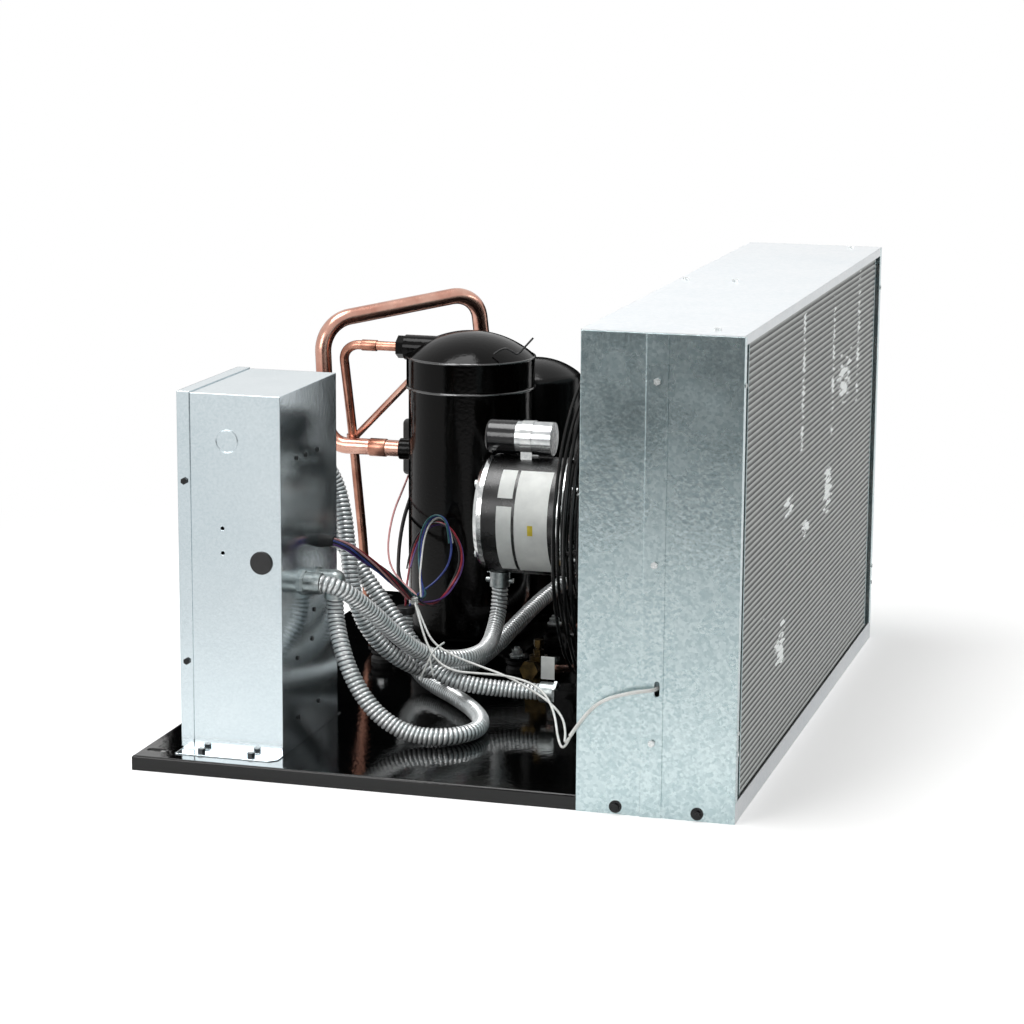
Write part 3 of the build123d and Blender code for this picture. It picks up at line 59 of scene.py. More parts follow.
class Axis(Enum):
    """The axes that round pieces lie along, with the turn that lays a primitive's Z along each."""

    X = (0.0, math.pi / 2, 0.0)
    Z = (0.0, 0.0, 0.0)


# Colours and nodes


def linear(code: str) -> tuple[float, float, float, float]:
    """Turn an sRGB hex colour to linear RGBA.

    Args:
        code: Six hex digits after a hash sign.

    Returns:
        Linear red, green, blue and an alpha of one.
    """
    parts = [int(code[i:i + 2], 16) / 255 for i in (1, 3, 5)]
    red, green, blue = (c / 12.92 if c <= 0.04045 else ((c + 0.055) / 1.055) ** 2.4 for c in parts)
    return red, green, blue, 1.0


class Nodes:
    """The node tree of one material or of the world, while it is being built."""

    def __init__(self, owner: bpy.types.ID) -> None:
        """Empty the tree of a material or of the world."""
        owner.use_nodes = True
        self.tree = owner.node_tree
        self.tree.nodes.clear()

    def add(
        self,
        kind: str,
        inputs: Optional[dict[Union[str, int], Value]] = None,
        stops: Sequence[tuple[float, str]] = (),
        **settings: object,
    ) -> bpy.types.Node:
        """Add a node with its settings, its socket values and its links.

        Args:
            kind: Blender's name for the node type, after ShaderNode.
            inputs: Socket name or number to a value, or to the output socket that feeds it.
            stops: Positions and hex colours of a colour ramp.
            settings: Properties of the node itself.

        Returns:
            The new node.
        """
        node = self.tree.nodes.new("ShaderNode" + kind)
        for name, value in settings.items():
            setattr(node, name, value)
        for name, value in (inputs or {}).items():
            if isinstance(value, Socket):
                self.tree.links.new(value, node.inputs[name])
            else:
                node.inputs[name].default_value = value
        for index, (place, code) in enumerate(stops):
            ramp = node.color_ramp.elements
            stop = ramp[index] if index < 2 else ramp.new(place)
            stop.position = place
            stop.color = linear(code)
        return node

    def place(self) -> Socket:
        """Return each point's place in its object."""
        return self.add("TexCoord").outputs["Object"]

    def calc(self, operation: str, *values: Value) -> Socket:
        """Return the result of one sum on numbers or sockets."""
        return self.add("Math", dict(enumerate(values)), operation=operation).outputs[0]

    def length(self, vector: Socket) -> Socket:
        """Return the length of a vector."""
        return self.add("VectorMath", {0: vector}, operation="LENGTH").outputs["Value"]

    def ranged(
        self, value: Socket, span: tuple[float, float], to: tuple[float, float] = (0.0, 1.0), **settings: str
    ) -> Socket:
        """Map a value from one span to another.

        Args:
            value: The value.
            span: The two ends that it is mapped from.
            to: The two ends that it is mapped to.
            settings: Properties of the node itself.

        Returns:
            The mapped value.
        """
        ends = {"From Min": span[0], "From Max": span[1], "To Min": to[0], "To Max": to[1]}
        return self.add("MapRange", {"Value": value, **ends}, **settings).outputs["Result"]

    def noise(self, place: Socket, size_mm: float, **settings: float) -> bpy.types.Node:
        """Return a soft noise whose features measure size_mm."""
        return self.add("TexNoise", {"Vector": place, "Scale": per_metre(size_mm), **settings})

    def blend(self, share: Value, first: Socket, second: Value) -> Socket:
        """Return two colours mixed by the share of the second."""
        mixed = self.add("Mix", {"Factor": share, 6: first, 7: second}, data_type="RGBA")
        return mixed.outputs[2]

    def seen_or_mirrored(self) -> Socket:
        """Return 1 on rays from the camera, from a mirror-like surface or through a clear one."""
        ray = self.add("LightPath").outputs
        direct = self.calc("MAXIMUM", ray["Is Camera Ray"], ray["Is Glossy Ray"])
        return self.calc("MAXIMUM", direct, ray["Is Transmission Ray"])


def per_metre(size_mm: float) -> float:
    """Return the texture scale at which one feature measures size_mm."""
    return 1000.0 / size_mm


# Finishes


@dataclass(frozen=True)
class Finish:
    """One surface finish: the values of its shader, and patterns at real sizes.

    The two shades are mixed by soft noise of patch_mm; bump_mm and bump_depth give the fine relief,
    and fold_mm is the radius to which the edges of folded sheet are shaded.
    """

    name: str
    shade: str
    other: str
    metallic: float = 0.0
    roughness: float = 0.4
    rough_swing: float = 0.1
    ior: float = 1.5
    patch_mm: float = 40.0
    patch_low: float = 0.35
    patch_high: float = 0.65
    bump_mm: float = 1.5
    bump_depth: float = 0.05
    fold_mm: float = 0.0

    def material(self) -> bpy.types.Material:
        """Return this finish's material, made once."""
        made = bpy.data.materials.get(self.name)
        return made if made else self.build()

    def build(self) -> bpy.types.Material:
        """Build the node tree: shader, colour, roughness and relief.

        Returns:
            The new material.
        """
        material = bpy.data.materials.new(self.name)
        nodes = Nodes(material)
        place = nodes.place()
        shader = nodes.add("BsdfPrincipled", {
            "Base Color": self.colour(nodes, place),
            "Roughness": self.roughness_map(nodes, place),
            "Normal": self.relief(nodes, place),
            "Metallic": self.metallic,
            "IOR": self.ior,
        })
        nodes.add("OutputMaterial", {"Surface": shader.outputs["BSDF"]})
        return material

    def patches(self, nodes: Nodes, place: Socket, size_mm: float) -> Socket:
        """Return soft noise of one feature size, from 0 to 1."""
        return nodes.noise(place, size_mm, Detail=4.0, Roughness=0.55).outputs["Fac"]

    def colour(self, nodes: Nodes, place: Socket) -> Socket:
        """Return the colour: the two shades in soft patches."""
        patches = self.patches(nodes, place, self.patch_mm)
        stops = ((self.patch_low, self.shade), (self.patch_high, self.other))
        return nodes.add("ValToRGB", {"Fac": patches}, stops).outputs["Color"]

    def roughness_map(self, nodes: Nodes, place: Socket) -> Socket:
        """Return the roughness, which swings a little over patches smaller than the colour's."""
        low = max(0.02, self.roughness - self.rough_swing / 2)
        high = min(1.0, self.roughness + self.rough_swing / 2)
        return nodes.ranged(self.patches(nodes, place, self.patch_mm * 0.6), (0.3, 0.7), (low, high))

    def relief(self, nodes: Nodes, place: Socket) -> Socket:
        """Give the finish's fine relief, turned softly over folded edges.

        Args:
            nodes: The material's nodes.
            place: Object coordinates.

        Returns:
            The normal.
        """
        inputs = {
            "Height": self.patches(nodes, place, self.bump_mm),
            "Strength": self.bump_depth,
            "Distance": self.bump_mm * MM,
        }
        if self.fold_mm:
            fold = nodes.add("Bevel", {"Radius": self.fold_mm * MM}, samples=6)
            inputs["Normal"] = fold.outputs["Normal"]
        return nodes.add("Bump", inputs).outputs["Normal"]


@dataclass(frozen=True, kw_only=True)
class SpangledSheet(Finish):
    """Zinc sheet: flat crystals that each catch the light their own way.

    The crystals' greys run from dark to pale, and streak is how strongly they show. Their borders
    wander by a share of their size.
    """

    crystal_mm: float
    dark: str
    pale: str
    streak: float
    wander: float = 0.9

    def colour(self, nodes: Nodes, place: Socket) -> Socket:
        """Give the crystals' greys over the sheet's own two shades.

        Args:
            nodes: The material's nodes.
            place: Object coordinates.

        Returns:
            The colour.
        """
        base = Finish.colour(self, nodes, place)
        warp = nodes.noise(place, self.crystal_mm, Detail=2.0).outputs["Color"]
        reach = self.crystal_mm * MM * self.wander
        bent = nodes.add("VectorMath", {0: warp, "Scale": reach}, operation="SCALE").outputs["Vector"]
        moved = nodes.add("VectorMath", {0: place, 1: bent}, operation="ADD").outputs["Vector"]
        cells = nodes.add("TexVoronoi", {"Vector": moved, "Scale": per_metre(self.crystal_mm)})
        facet = nodes.add("SeparateColor", {"Color": cells.outputs["Color"]}).outputs["Red"]
        shades = nodes.add("ValToRGB", {"Fac": facet}, ((0.0, self.dark), (1.0, self.pale)))
        return nodes.blend(self.streak, base, shades.outputs["Color"])


@dataclass(frozen=True)
class RibbedFins(Finish):
    """Mill aluminium fins edge on: painted shade and highlight over each rib, painted highlight on bent
    fins.

    Each mark is a knocked place: its Y and Z in metres, and its reach along Y and along Z. Noise of
    dent_mm, drawn out along the fins by stretch, breaks the marks up. It shows where it passes
    dent_span, and a mark lifts it by up to knock.
    """

    pitch_mm: float = 7.2
    # Colour of the painted shade in the gaps between fins.
    gap_painted_shade: str = "#090a09"
    # Colour of the painted highlight where bent fins catch the light.
    bent: str = "#e9edec"
    dent_mm: float = 18.0
    stretch: Point = (1.0, 0.5, 3.0)
    dent_span: tuple[float, float] = (0.74, 0.78)
    knock: float = 0.3
    marks: tuple[tuple[float, float, float, float], ...] = (
        (0.205, 0.415, 0.08, 0.055), (0.1, 0.283, 0.055, 0.05), (-0.165, 0.312, 0.05, 0.028),
        (-0.05, 0.262, 0.055, 0.026), (-0.2, 0.145, 0.05, 0.05), (-0.09, 0.46, 0.014, 0.15),
        (0.12, 0.44, 0.014, 0.16), (0.31, 0.45, 0.016, 0.15),
    )

    def knocks(self, nodes: Nodes, place: Socket) -> Socket:
        """Give how near each point lies to a knocked place, from 0 to 1.

        Args:
            nodes: The material's nodes.
            place: Object coordinates.

        Returns:
            The nearest mark's share.
        """
        shares = []
        for y, z, along, up in self.marks:
            local = nodes.add("Mapping", {
                "Vector": place,
                "Location": (0.0, -y / along, -z / up),
                "Scale": (0.0, 1.0 / along, 1.0 / up),
            })
            shares.append(nodes.ranged(nodes.length(local.outputs["Vector"]), (1.0, 0.3)))
        nearest = shares[0]
        for share in shares[1:]:
            nearest = nodes.calc("MAXIMUM", nearest, share)
        return nearest

    def colour(self, nodes: Nodes, place: Socket) -> Socket:
        """Give the fins' painted shade and highlight across each rib, and painted highlight on bent fins.

        Args:
            nodes: The material's nodes.
            place: Object coordinates.

        Returns:
            The colour.
        """
        height = nodes.add("SeparateXYZ", {"Vector": place}).outputs["Z"]
        rib = nodes.calc("FRACT", nodes.calc("MULTIPLY", height, per_metre(self.pitch_mm)))
        # Across each rib: painted shade in the gap, rising to painted highlight on the crest.
        stops = ((0.1, self.gap_painted_shade), (0.55, self.shade), (0.9, self.other))
        bands = nodes.add("ValToRGB", {"Fac": rib}, stops).outputs["Color"]
        rows = nodes.add("Mapping", {"Vector": place, "Scale": self.stretch}).outputs["Vector"]
        dents = self.patches(nodes, rows, self.dent_mm)
        # Painted highlight streaks where fins are bent over, strongest at the knocked places.
        raised = nodes.calc("MULTIPLY_ADD", self.knocks(nodes, place), self.knock, dents)
        return nodes.blend(nodes.ranged(raised, self.dent_span), bands, linear(self.bent))


@dataclass(frozen=True)
class WoundStrip(Finish):
    """Interlocked strip, with painted shade in the groove between two turns."""

    # Colour of the painted shade deepest in the groove.
    groove: str = "#16191a"

    def colour(self, nodes: Nodes, place: Socket) -> Socket:
        """Return the strip's greys, with painted shade by how deep each point lies in the groove."""
        base = Finish.colour(self, nodes, place)
        depth = nodes.add("Attribute", attribute_name="groove").outputs["Fac"]
        return nodes.blend(depth, base, linear(self.groove))


class Coat:
    """The finishes of the unit, by what each surface really is."""

    # Baked gloss enamel on the pan: black glass with a faint orange peel.
    PAN = Finish("gloss_enamel_pan", "#030303", "#050505", roughness=0.06, rough_swing=0.04, ior=1.42,
                 patch_mm=90, bump_mm=7, bump_depth=0.03, fold_mm=2.2)
    # Compressor enamel: deep black, a little softer than the pan.
    SHELL = Finish("gloss_enamel_shell", "#040303", "#070605", roughness=0.1, rough_swing=0.06, ior=1.22,
                   patch_mm=60, bump_mm=5, bump_depth=0.05)
    # The same enamel pooled on a weld bead, where it shines more.
    BEAD = Finish("gloss_enamel_bead", "#080808", "#0e0e0d", roughness=0.12, rough_swing=0.04, ior=1.9,
                  patch_mm=30, bump_mm=4, bump_depth=0.1)
    # Receiver enamel: satin black from a single sprayed coat.
    TANK = Finish("satin_enamel_tank", "#070707", "#0b0b0b", roughness=0.2, ior=1.28, patch_mm=50,
                  bump_mm=3, bump_depth=0.06)
    MOTOR = Finish("satin_enamel_motor", "#0a0a0a", "#131313", roughness=0.28, patch_mm=30, bump_mm=2,
                   bump_depth=0.05)
    GUARD = Finish("dipped_guard_wire", "#060606", "#0c0c0c", roughness=0.24, ior=1.3, patch_mm=20,
                   bump_mm=2, bump_depth=0.05)
    # Galvanised casing sheet with open spangle.
    CASING = SpangledSheet("galvanised_casing", "#b4c6c9", "#c2d2d4", metallic=0.94, roughness=0.27,
                           rough_swing=0.08, patch_mm=140, bump_mm=5, bump_depth=0.04, crystal_mm=3.4,
                           dark="#9bafb3", pale="#d2dedf", streak=0.55, fold_mm=1.5)
    # Top sheet and bottom rail: a paler, nearly matt copy of the casing's galvanised sheet, whose pale shade
    # is painted light that makes the top read bright.
    TOP = SpangledSheet("galvanised_top_painted_light", "#e9eef1", "#f0f3f5", metallic=0.18, roughness=0.42,
                        rough_swing=0.1, patch_mm=160, bump_mm=6, bump_depth=0.03, crystal_mm=4.2,
                        dark="#d9e1e5", pale="#f4f6f8", streak=0.3, fold_mm=1.5)
    # Electro-zinc plated box: fine, even and faintly blue.
    BOX = SpangledSheet("zinc_plated_box", "#c6d2d7", "#d2dce0", metallic=0.96, roughness=0.15,
                        rough_swing=0.08, patch_mm=160, patch_low=0.3, patch_high=0.7, bump_mm=6,
                        bump_depth=0.02, crystal_mm=2.2, dark="#bac6cb", pale="#dce4e7", streak=0.2,
                        fold_mm=1.5)
    # Bright zinc on fasteners and stampings.
    PLATED = Finish("bright_zinc_fastener", "#dde1e1", "#f0f3f2", metallic=0.5, roughness=0.28,
                    patch_mm=8, bump_mm=1, bump_depth=0.04)
    BLACKENED = Finish("black_oxide_screw", "#0a0a0b", "#171718", metallic=0.3, roughness=0.3,
                       patch_mm=5, bump_mm=1, bump_depth=0.05)
    # Drawn copper tube with brown heat tint at its joints.
    COPPER = Finish("drawn_copper_tube", "#b98676", "#d3a998", metallic=1.0, roughness=0.24,
                    rough_swing=0.12, patch_mm=45, bump_mm=3, bump_depth=0.04)
    BROWNED = Finish("heat_browned_copper", "#8a5b4a", "#b98774", metallic=1.0, roughness=0.3,
                     rough_swing=0.14, patch_mm=30, bump_mm=3, bump_depth=0.05)
    # Fins with painted shade in their gaps and painted highlight on their crests and where they are bent.
    FINS = RibbedFins("mill_aluminium_fins", "#565a57", "#b3b7b5", metallic=0.35, roughness=0.5,
                      patch_mm=30, bump_mm=2, bump_depth=0.2)
    BLADE = Finish("mill_aluminium_blade", "#8e9293", "#a9acac", metallic=1.0, roughness=0.32,
                   patch_mm=40, bump_mm=2, bump_depth=0.05)
    HUB = Finish("plated_steel_hub", "#7f8383", "#9a9d9c", metallic=1.0, roughness=0.35, patch_mm=12)
    SHAFT = Finish("ground_steel_shaft", "#9b9c9c", "#b3b4b4", metallic=1.0, roughness=0.18, patch_mm=10)
    CAN = Finish("drawn_aluminium_can", "#b4b7b8", "#cfd1d1", metallic=1.0, roughness=0.2, patch_mm=14)
    STRAP = Finish("bright_steel_strap", "#b9bcbc", "#d4d6d5", metallic=1.0, roughness=0.16, patch_mm=10)
    # Forged brass in a dark, dull brown, with only its edges catching light.
    BRASS = Finish("dark_brown_forged_brass", "#2a2317", "#57472b", metallic=1.0, roughness=0.38,
                   patch_mm=12, bump_mm=1.5, bump_depth=0.08)
    # Die-cast zinc: grey and slightly grainy from the mould.
    DIECAST = Finish("die_cast_zinc", "#8d9494", "#b3b8b7", metallic=0.95, roughness=0.36, patch_mm=6,
                     bump_mm=1, bump_depth=0.1)
    # Interlocked strip of the conduits: bright zinc rolled from flat, with painted shade in its grooves.
    CONDUIT = WoundStrip("interlocked_steel_strip", "#e2e6e6", "#fafbfb", metallic=0.42,
                         roughness=0.24, rough_swing=0.1, patch_mm=14, bump_mm=1.2, bump_depth=0.05)
    MOULDED = Finish("moulded_black_nylon", "#0d0d0e", "#1a1a1b", roughness=0.45, patch_mm=10,
                     bump_mm=0.8, bump_depth=0.1)
    BOOT = Finish("glossy_black_boot", "#08080a", "#121214", roughness=0.14, patch_mm=14)
    RUBBER = Finish("moulded_rubber", "#0b0b0b", "#171717", roughness=0.6, patch_mm=8, bump_mm=0.8,
                    bump_depth=0.15)
    ARMATURE = Finish("moulded_cream_carrier", "#c4bca6", "#d2cbb8", roughness=0.45, patch_mm=8)
    WHITE = Finish("white_vinyl_sheath", "#dcdcd8", "#efefec", roughness=0.38, patch_mm=12)
    BLACK_WIRE = Finish("black_vinyl_sheath", "#0b0b0c", "#1a1a1c", roughness=0.35, patch_mm=8)
    RED_WIRE = Finish("red_vinyl_sheath", "#7d1626", "#a8283a", roughness=0.35, patch_mm=8)
    BLUE_WIRE = Finish("blue_vinyl_sheath", "#1f2c6e", "#34489a", roughness=0.35, patch_mm=8)
    TEAL_WIRE = Finish("teal_vinyl_sheath", "#1b4a50", "#2c6a70", roughness=0.35, patch_mm=8)
    PINK_WIRE = Finish("pink_vinyl_sheath", "#c98a8c", "#dda6a4", roughness=0.35, patch_mm=8)
    PURPLE_WIRE = Finish("purple_vinyl_sheath", "#4a2a6e", "#613b86", roughness=0.35, patch_mm=8)
    LABEL = Finish("satin_paper_label", "#d9dbd8", "#eceeea", roughness=0.5, patch_mm=30, bump_mm=2,
                   bump_depth=0.03)
    LABEL_DOT = Finish("yellow_printed_spot", "#c9b21e", "#dcc63a", roughness=0.5, patch_mm=10)


# Modelling helpers


def select_only(*objects: Item) -> None:
    """Leave only these objects selected, with the first one active."""
    if bpy.context.object and bpy.context.object.mode != "OBJECT":
        bpy.ops.object.mode_set(mode="OBJECT")
    bpy.ops.object.select_all(action="DESELECT")
    for item in objects:
        item.select_set(True)
    if objects:
        bpy.context.view_layer.objects.active = objects[0]


def edit_all() -> None:
    """Enter edit mode on the active object with its whole mesh selected."""
    bpy.ops.object.mode_set(mode="EDIT")
    bpy.ops.mesh.select_all(action="SELECT")


def extrude(shift: Point) -> None:
    """Extrude what is selected by a shift."""
    bpy.ops.mesh.extrude_region_move(TRANSFORM_OT_translate={"value": shift})


def settle(item: Item) -> Item:
    """Move an object's place, turn and size into its mesh."""
    select_only(item)
    bpy.ops.object.transform_apply(location=True, rotation=True, scale=True)
    return item


def outward(item: Item) -> Item:
    """Merge a mesh's doubles and turn all its faces outwards.

    Args:
        item: The mesh's object.

    Returns:
        The same object.
    """
    select_only(item)
    edit_all()
    bpy.ops.mesh.remove_doubles(threshold=0.01 * MM)
    bpy.ops.mesh.normals_make_consistent(inside=False)
    bpy.ops.object.mode_set(mode="OBJECT")
    return item


def smooth(item: Item, degrees: float = 35.0) -> Item:
    """Shade smooth except where faces meet at more than an angle."""
    select_only(item)
    bpy.ops.object.shade_smooth_by_angle(angle=math.radians(degrees))
    return item


def bevelled(item: Item, width_mm: float, segments: int, sharp_deg: float = 40.0) -> Item:
    """Round the sharp edges of a mesh with an applied bevel.

    Args:
        item: The mesh's object.
        width_mm: The bevel's width.
        segments: Its segments.
        sharp_deg: The angle over which an edge is sharp.

    Returns:
        The same object.
    """
    select_only(item)
    bevel = item.modifiers.new("edges", "BEVEL")
    bevel.width = width_mm * MM
    bevel.segments = segments
    bevel.limit_method = "ANGLE"
    bevel.angle_limit = math.radians(sharp_deg)
    bpy.ops.object.modifier_apply(modifier=bevel.name)
    return item


def joined(items: Sequence[Item]) -> Item:
    """Join meshes into one object, and return it."""
    select_only(*items)
    bpy.ops.object.join()
    return bpy.context.view_layer.objects.active


def drum(centre: Point, radius: float, depth: float, axis: Axis, sides: int = 40) -> Item:
    """Return a closed cylinder along an axis, with its place in its mesh."""
    select_only()
    bpy.ops.mesh.primitive_cylinder_add(
        vertices=sides, radius=radius, depth=depth, location=centre, rotation=axis.value
    )
    return settle(bpy.context.object)


def brick(low: Point, high: Point) -> Item:
    """Return a closed box between two corners, with its place in its mesh."""
    select_only()
    middle = [(a + b) / 2 for a, b in zip(low, high)]
    bpy.ops.mesh.primitive_cube_add(size=1.0, location=middle)
    bpy.context.object.scale = [b - a for a, b in zip(low, high)]
    return settle(bpy.context.object)


def hoop(centre: Point, radius: float, wire: float, axis: Axis, turns: int = 96) -> Item:
    """Model a torus of wire round an axis, with its place in its mesh.

    Args:
        centre: Its middle.
        radius: The radius of the wire's centreline.
        wire: The wire's own radius.
        axis: The axis that it lies round.
        turns: Its segments round that axis.

    Returns:
        The torus.
    """
    select_only()
    bpy.ops.mesh.primitive_torus_add(
        major_segments=turns, minor_segments=10, major_radius=radius, minor_radius=wire,
        location=centre, rotation=axis.value,
    )
    return settle(bpy.context.object)


def disc(centre: Point, radius: float, sides: int, turn: Point) -> Item:
    """Return a flat round face, with its place in its mesh."""
    select_only()
    bpy.ops.mesh.primitive_circle_add(
        vertices=sides, radius=radius, fill_type="NGON", location=centre, rotation=turn
    )
    return settle(bpy.context.object)


def start_ring(centre: Point, outer: float, bore: float, thick: float, sides: int) -> Item:
    """Model a bored disc that faces +X, and stay in edit mode with its front selected.

    Args:
        centre: The middle of its back.
        outer: Its radius.
        bore: Its bore's radius.
        thick: Its thickness.
        sides: The sides of its circle.

    Returns:
        The ring's object.
    """
    ring = disc(centre, outer, sides, Axis.X.value)
    edit_all()
    bpy.ops.mesh.inset(thickness=outer - bore)
    bpy.ops.mesh.delete(type="FACE")
    bpy.ops.mesh.select_all(action="SELECT")
    extrude((thick, 0, 0))
    return ring


def linked(name: str, data: bpy.types.ID) -> Item:
    """Return a new object of some data, in the scene."""
    item = bpy.data.objects.new(name, data)
    bpy.context.scene.collection.objects.link(item)
    return item


def metres(route_mm: Iterable[Point]) -> list[list[float]]:
    """Return a route in metres."""
    return [[v * MM for v in place] for place in route_mm]


def curve_by(name: str, places: Sequence[Iterable[float]]) -> bpy.types.Curve:
    """Lay one smooth spline by its control points.

    Args:
        name: The curve's name.
        places: The control points, in metres.

    Returns:
        The curve, with no thickness yet.
    """
    curve = bpy.data.curves.new(name, "CURVE")
    curve.dimensions = "3D"
    spline = curve.splines.new("NURBS")
    spline.points.add(len(places) - 1)
    for point, place in zip(spline.points, places):
        point.co = (*place, 1.0)
    spline.order_u = 3
    spline.use_endpoint_u = True
    return curve


def wire(name: str, curve: bpy.types.Curve, radius_mm: float, roundness: int = 3) -> Item:
    """Return a capped round wire along a curve, which stays a curve."""
    curve.bevel_depth = radius_mm * MM
    curve.bevel_resolution = roundness
    curve.use_fill_caps = True
    return linked(name, curve)


class SubAssembly:
    """One sub-assembly: it dresses its solids and keeps the pieces that it models."""

    body = UNIT

    def dress(self, finish: Finish, *nodes: str) -> None:
        """Give solids of the frame a finish.

        Args:
            finish: The finish for every face of each solid.
            nodes: The nodes' names.
        """
        for name in nodes:
            self.coat(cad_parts[name], finish)
            LOG.info("dressed %s as %s", name, finish.name)

    def coat(self, item: Item, finish: Finish) -> None:
        """Give a finish to all of an object."""
        item.data.materials.clear()
        item.data.materials.append(finish.material())

    def keep(
        self, item: Item, name: str, finish: Finish, slot: str, replaces: Iterable[str] = ()
    ) -> Item:
        """Name a modelled piece, give it its finish and let it ride on this sub-assembly's body.

        Args:
            item: The finished piece.
            name: The piece's name.
            finish: Its finish.
            slot: The record's material slot that it belongs to; not used.
            replaces: The nodes that it stands for.

        Returns:
            The piece.
        """
        item.name = name
        item.data.name = name
        self.coat(item, finish)
        if replaces:
            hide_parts(*replaces)
        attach(item, self.body)
        LOG.info("built %s", name)
        return item


# Studio


@dataclass(frozen=True)
class Lamp:
    """One soft square lamp: its place, its aim, its side in metres and its power in watts."""

    name: str
    place: Point
    aim: Point
    size: float
    power: float

    def build(self) -> None:
        """Hang the lamp and turn it to its aim."""
        data = bpy.data.lights.new(self.name, "AREA")
        data.size = self.size
        data.energy = self.power
        lamp = linked(self.name, data)
        lamp.location = self.place
        lamp.rotation_euler = (Vector(self.aim) - Vector(self.place)).to_track_quat("-Z", "Y").to_euler()


@dataclass(frozen=True)
class Card:
    """One dark card that stands upright along X, where only mirror-like surfaces see it."""

    name: str
    middle: Point
    width: float
    height: float
    shade: str

    def build(self) -> None:
        """Stand the card in its place."""
        select_only()
        bpy.ops.mesh.primitive_plane_add(size=1.0, location=self.middle, rotation=(math.pi / 2, 0, 0))
        card = bpy.context.object
        card.scale = (self.width, self.height, 1.0)
        settle(card)
        card.name = self.name
        material = bpy.data.materials.new(self.name)
        nodes = Nodes(material)
        grey = nodes.add("Emission", {"Color": linear(self.shade), "Strength": 1.0})
        nodes.add("OutputMaterial", {"Surface": grey.outputs["Emission"]})
        card.data.materials.append(material)
        card.visible_camera = False
        card.visible_diffuse = False
        card.visible_shadow = False


LAMPS = (
    Lamp("overhead", place=(-0.5, -0.3, 3.0), aim=(0, 0, 0.2), size=1.6, power=62),
    Lamp("front_left", place=(-1.7, -3.6, 1.7), aim=(0, -0.2, 0.25), size=1.8, power=56),
    Lamp("beside", place=(3.2, 1.1, 1.0), aim=(0.3, 0, 0.25), size=1.2, power=27),
)
CARDS = (
    Card("front_flag", middle=(0.9, -1.9, 0.5), width=2.7, height=0.9, shade="#2a3033"),
    # Painted shade: a dark sheet behind the unit, seen only by mirror-like surfaces, that stands for the
    # shaded floor there.
    Card("rear_shade_card", middle=(-0.31, 0.56, 0.26), width=0.9, height=0.5, shade="#060708"),
)


@dataclass
class Studio:
    """Camera, pale floor, white sky, soft lamps and dark cards."""

    eye: Point = (1.020, -3.661, 1.017)
    turn_deg: float = -16.00561586
    tilt_deg: float = 11.41605469
    roll_deg: float = 0.38028212
    lens_mm: float = 104.70
    reach: float = 100.0            # how far the camera sees
    floor_size: float = 14.0
    floor_shade: str = "#f4f4f3"
    floor_lift: float = 0.48        # glow that brings the lit floor up to white
    floor_fade: tuple[float, float] = (0.7, 1.5)   # distances between which it turns pure white
    ambient: float = 0.1            # strength of the sky on matt surfaces

    def build(self) -> None:
        """Build the whole studio."""
        bpy.context.scene.view_settings.view_transform = "Standard"
        self.camera()
        self.floor()
        self.world()
        for piece in LAMPS + CARDS:
            piece.build()

    def camera(self) -> None:
        """Place the camera from its turn, tilt and roll."""
        yaw, pitch, roll = (math.radians(v) for v in (self.turn_deg, self.tilt_deg, self.roll_deg))
        ahead = Vector((math.sin(yaw) * math.cos(pitch), math.cos(yaw) * math.cos(pitch), -math.sin(pitch)))
        level = Vector((math.cos(yaw), -math.sin(yaw), 0.0))
        upright = level.cross(ahead)
        right = math.cos(roll) * level + math.sin(roll) * upright
        up = math.cos(roll) * upright - math.sin(roll) * level
        data = bpy.data.cameras.new("camera")
        data.lens = self.lens_mm
        data.clip_end = self.reach
        camera = linked("camera", data)
        camera.matrix_world = Matrix((
            (right.x, up.x, -ahead.x, self.eye[0]),
            (right.y, up.y, -ahead.y, self.eye[1]),
            (right.z, up.z, -ahead.z, self.eye[2]),
            (0.0, 0.0, 0.0, 1.0),
        ))
        bpy.context.scene.camera = camera

    def floor(self) -> None:
        """Add the pale floor that the unit stands on, pure white further out."""
        select_only()
        bpy.ops.mesh.primitive_plane_add(size=self.floor_size, location=(0, 0, 0))
        floor = settle(bpy.context.object)
        floor.name = "floor"
        material = bpy.data.materials.new("pale_floor")
        nodes = Nodes(material)
        seen = nodes.seen_or_mirrored()
        matte = nodes.add("BsdfDiffuse", {"Color": linear(self.floor_shade)}).outputs["BSDF"]
        glow = nodes.add("Emission", {"Strength": nodes.calc("MULTIPLY", seen, self.floor_lift)})
        near = nodes.add("AddShader", {0: matte, 1: glow.outputs["Emission"]}).outputs["Shader"]
        away = nodes.length(nodes.place())
        fade = nodes.ranged(away, self.floor_fade, interpolation_type="SMOOTHSTEP")
        white = nodes.add("Emission", {"Strength": 1.0}).outputs["Emission"]
        both = nodes.add("MixShader", {0: nodes.calc("MULTIPLY", seen, fade), 1: near, 2: white})
        nodes.add("OutputMaterial", {"Surface": both.outputs["Shader"]})
        floor.data.materials.append(material)

    def world(self) -> None:
        """Light the unit evenly, and show a white background where the sky is seen or mirrored."""
        world = bpy.data.worlds.new("studio")
        bpy.context.scene.world = world
        nodes = Nodes(world)
        soft, white = (
            nodes.add("Background", {"Color": linear("#ffffff"), "Strength": strength})
            for strength in (self.ambient, 1.0)
        )
        skies = {1: soft.outputs["Background"], 2: white.outputs["Background"]}
        mixed = nodes.add("MixShader", {0: nodes.seen_or_mirrored(), **skies})
        nodes.add("OutputWorld", {"Surface": mixed.outputs["Shader"]})


# Cords


class Sheath(Enum):
    """How a cord is made: a plain round sheath, or interlocked steel strip."""

    PLAIN = "plain"
    STRIP = "strip"


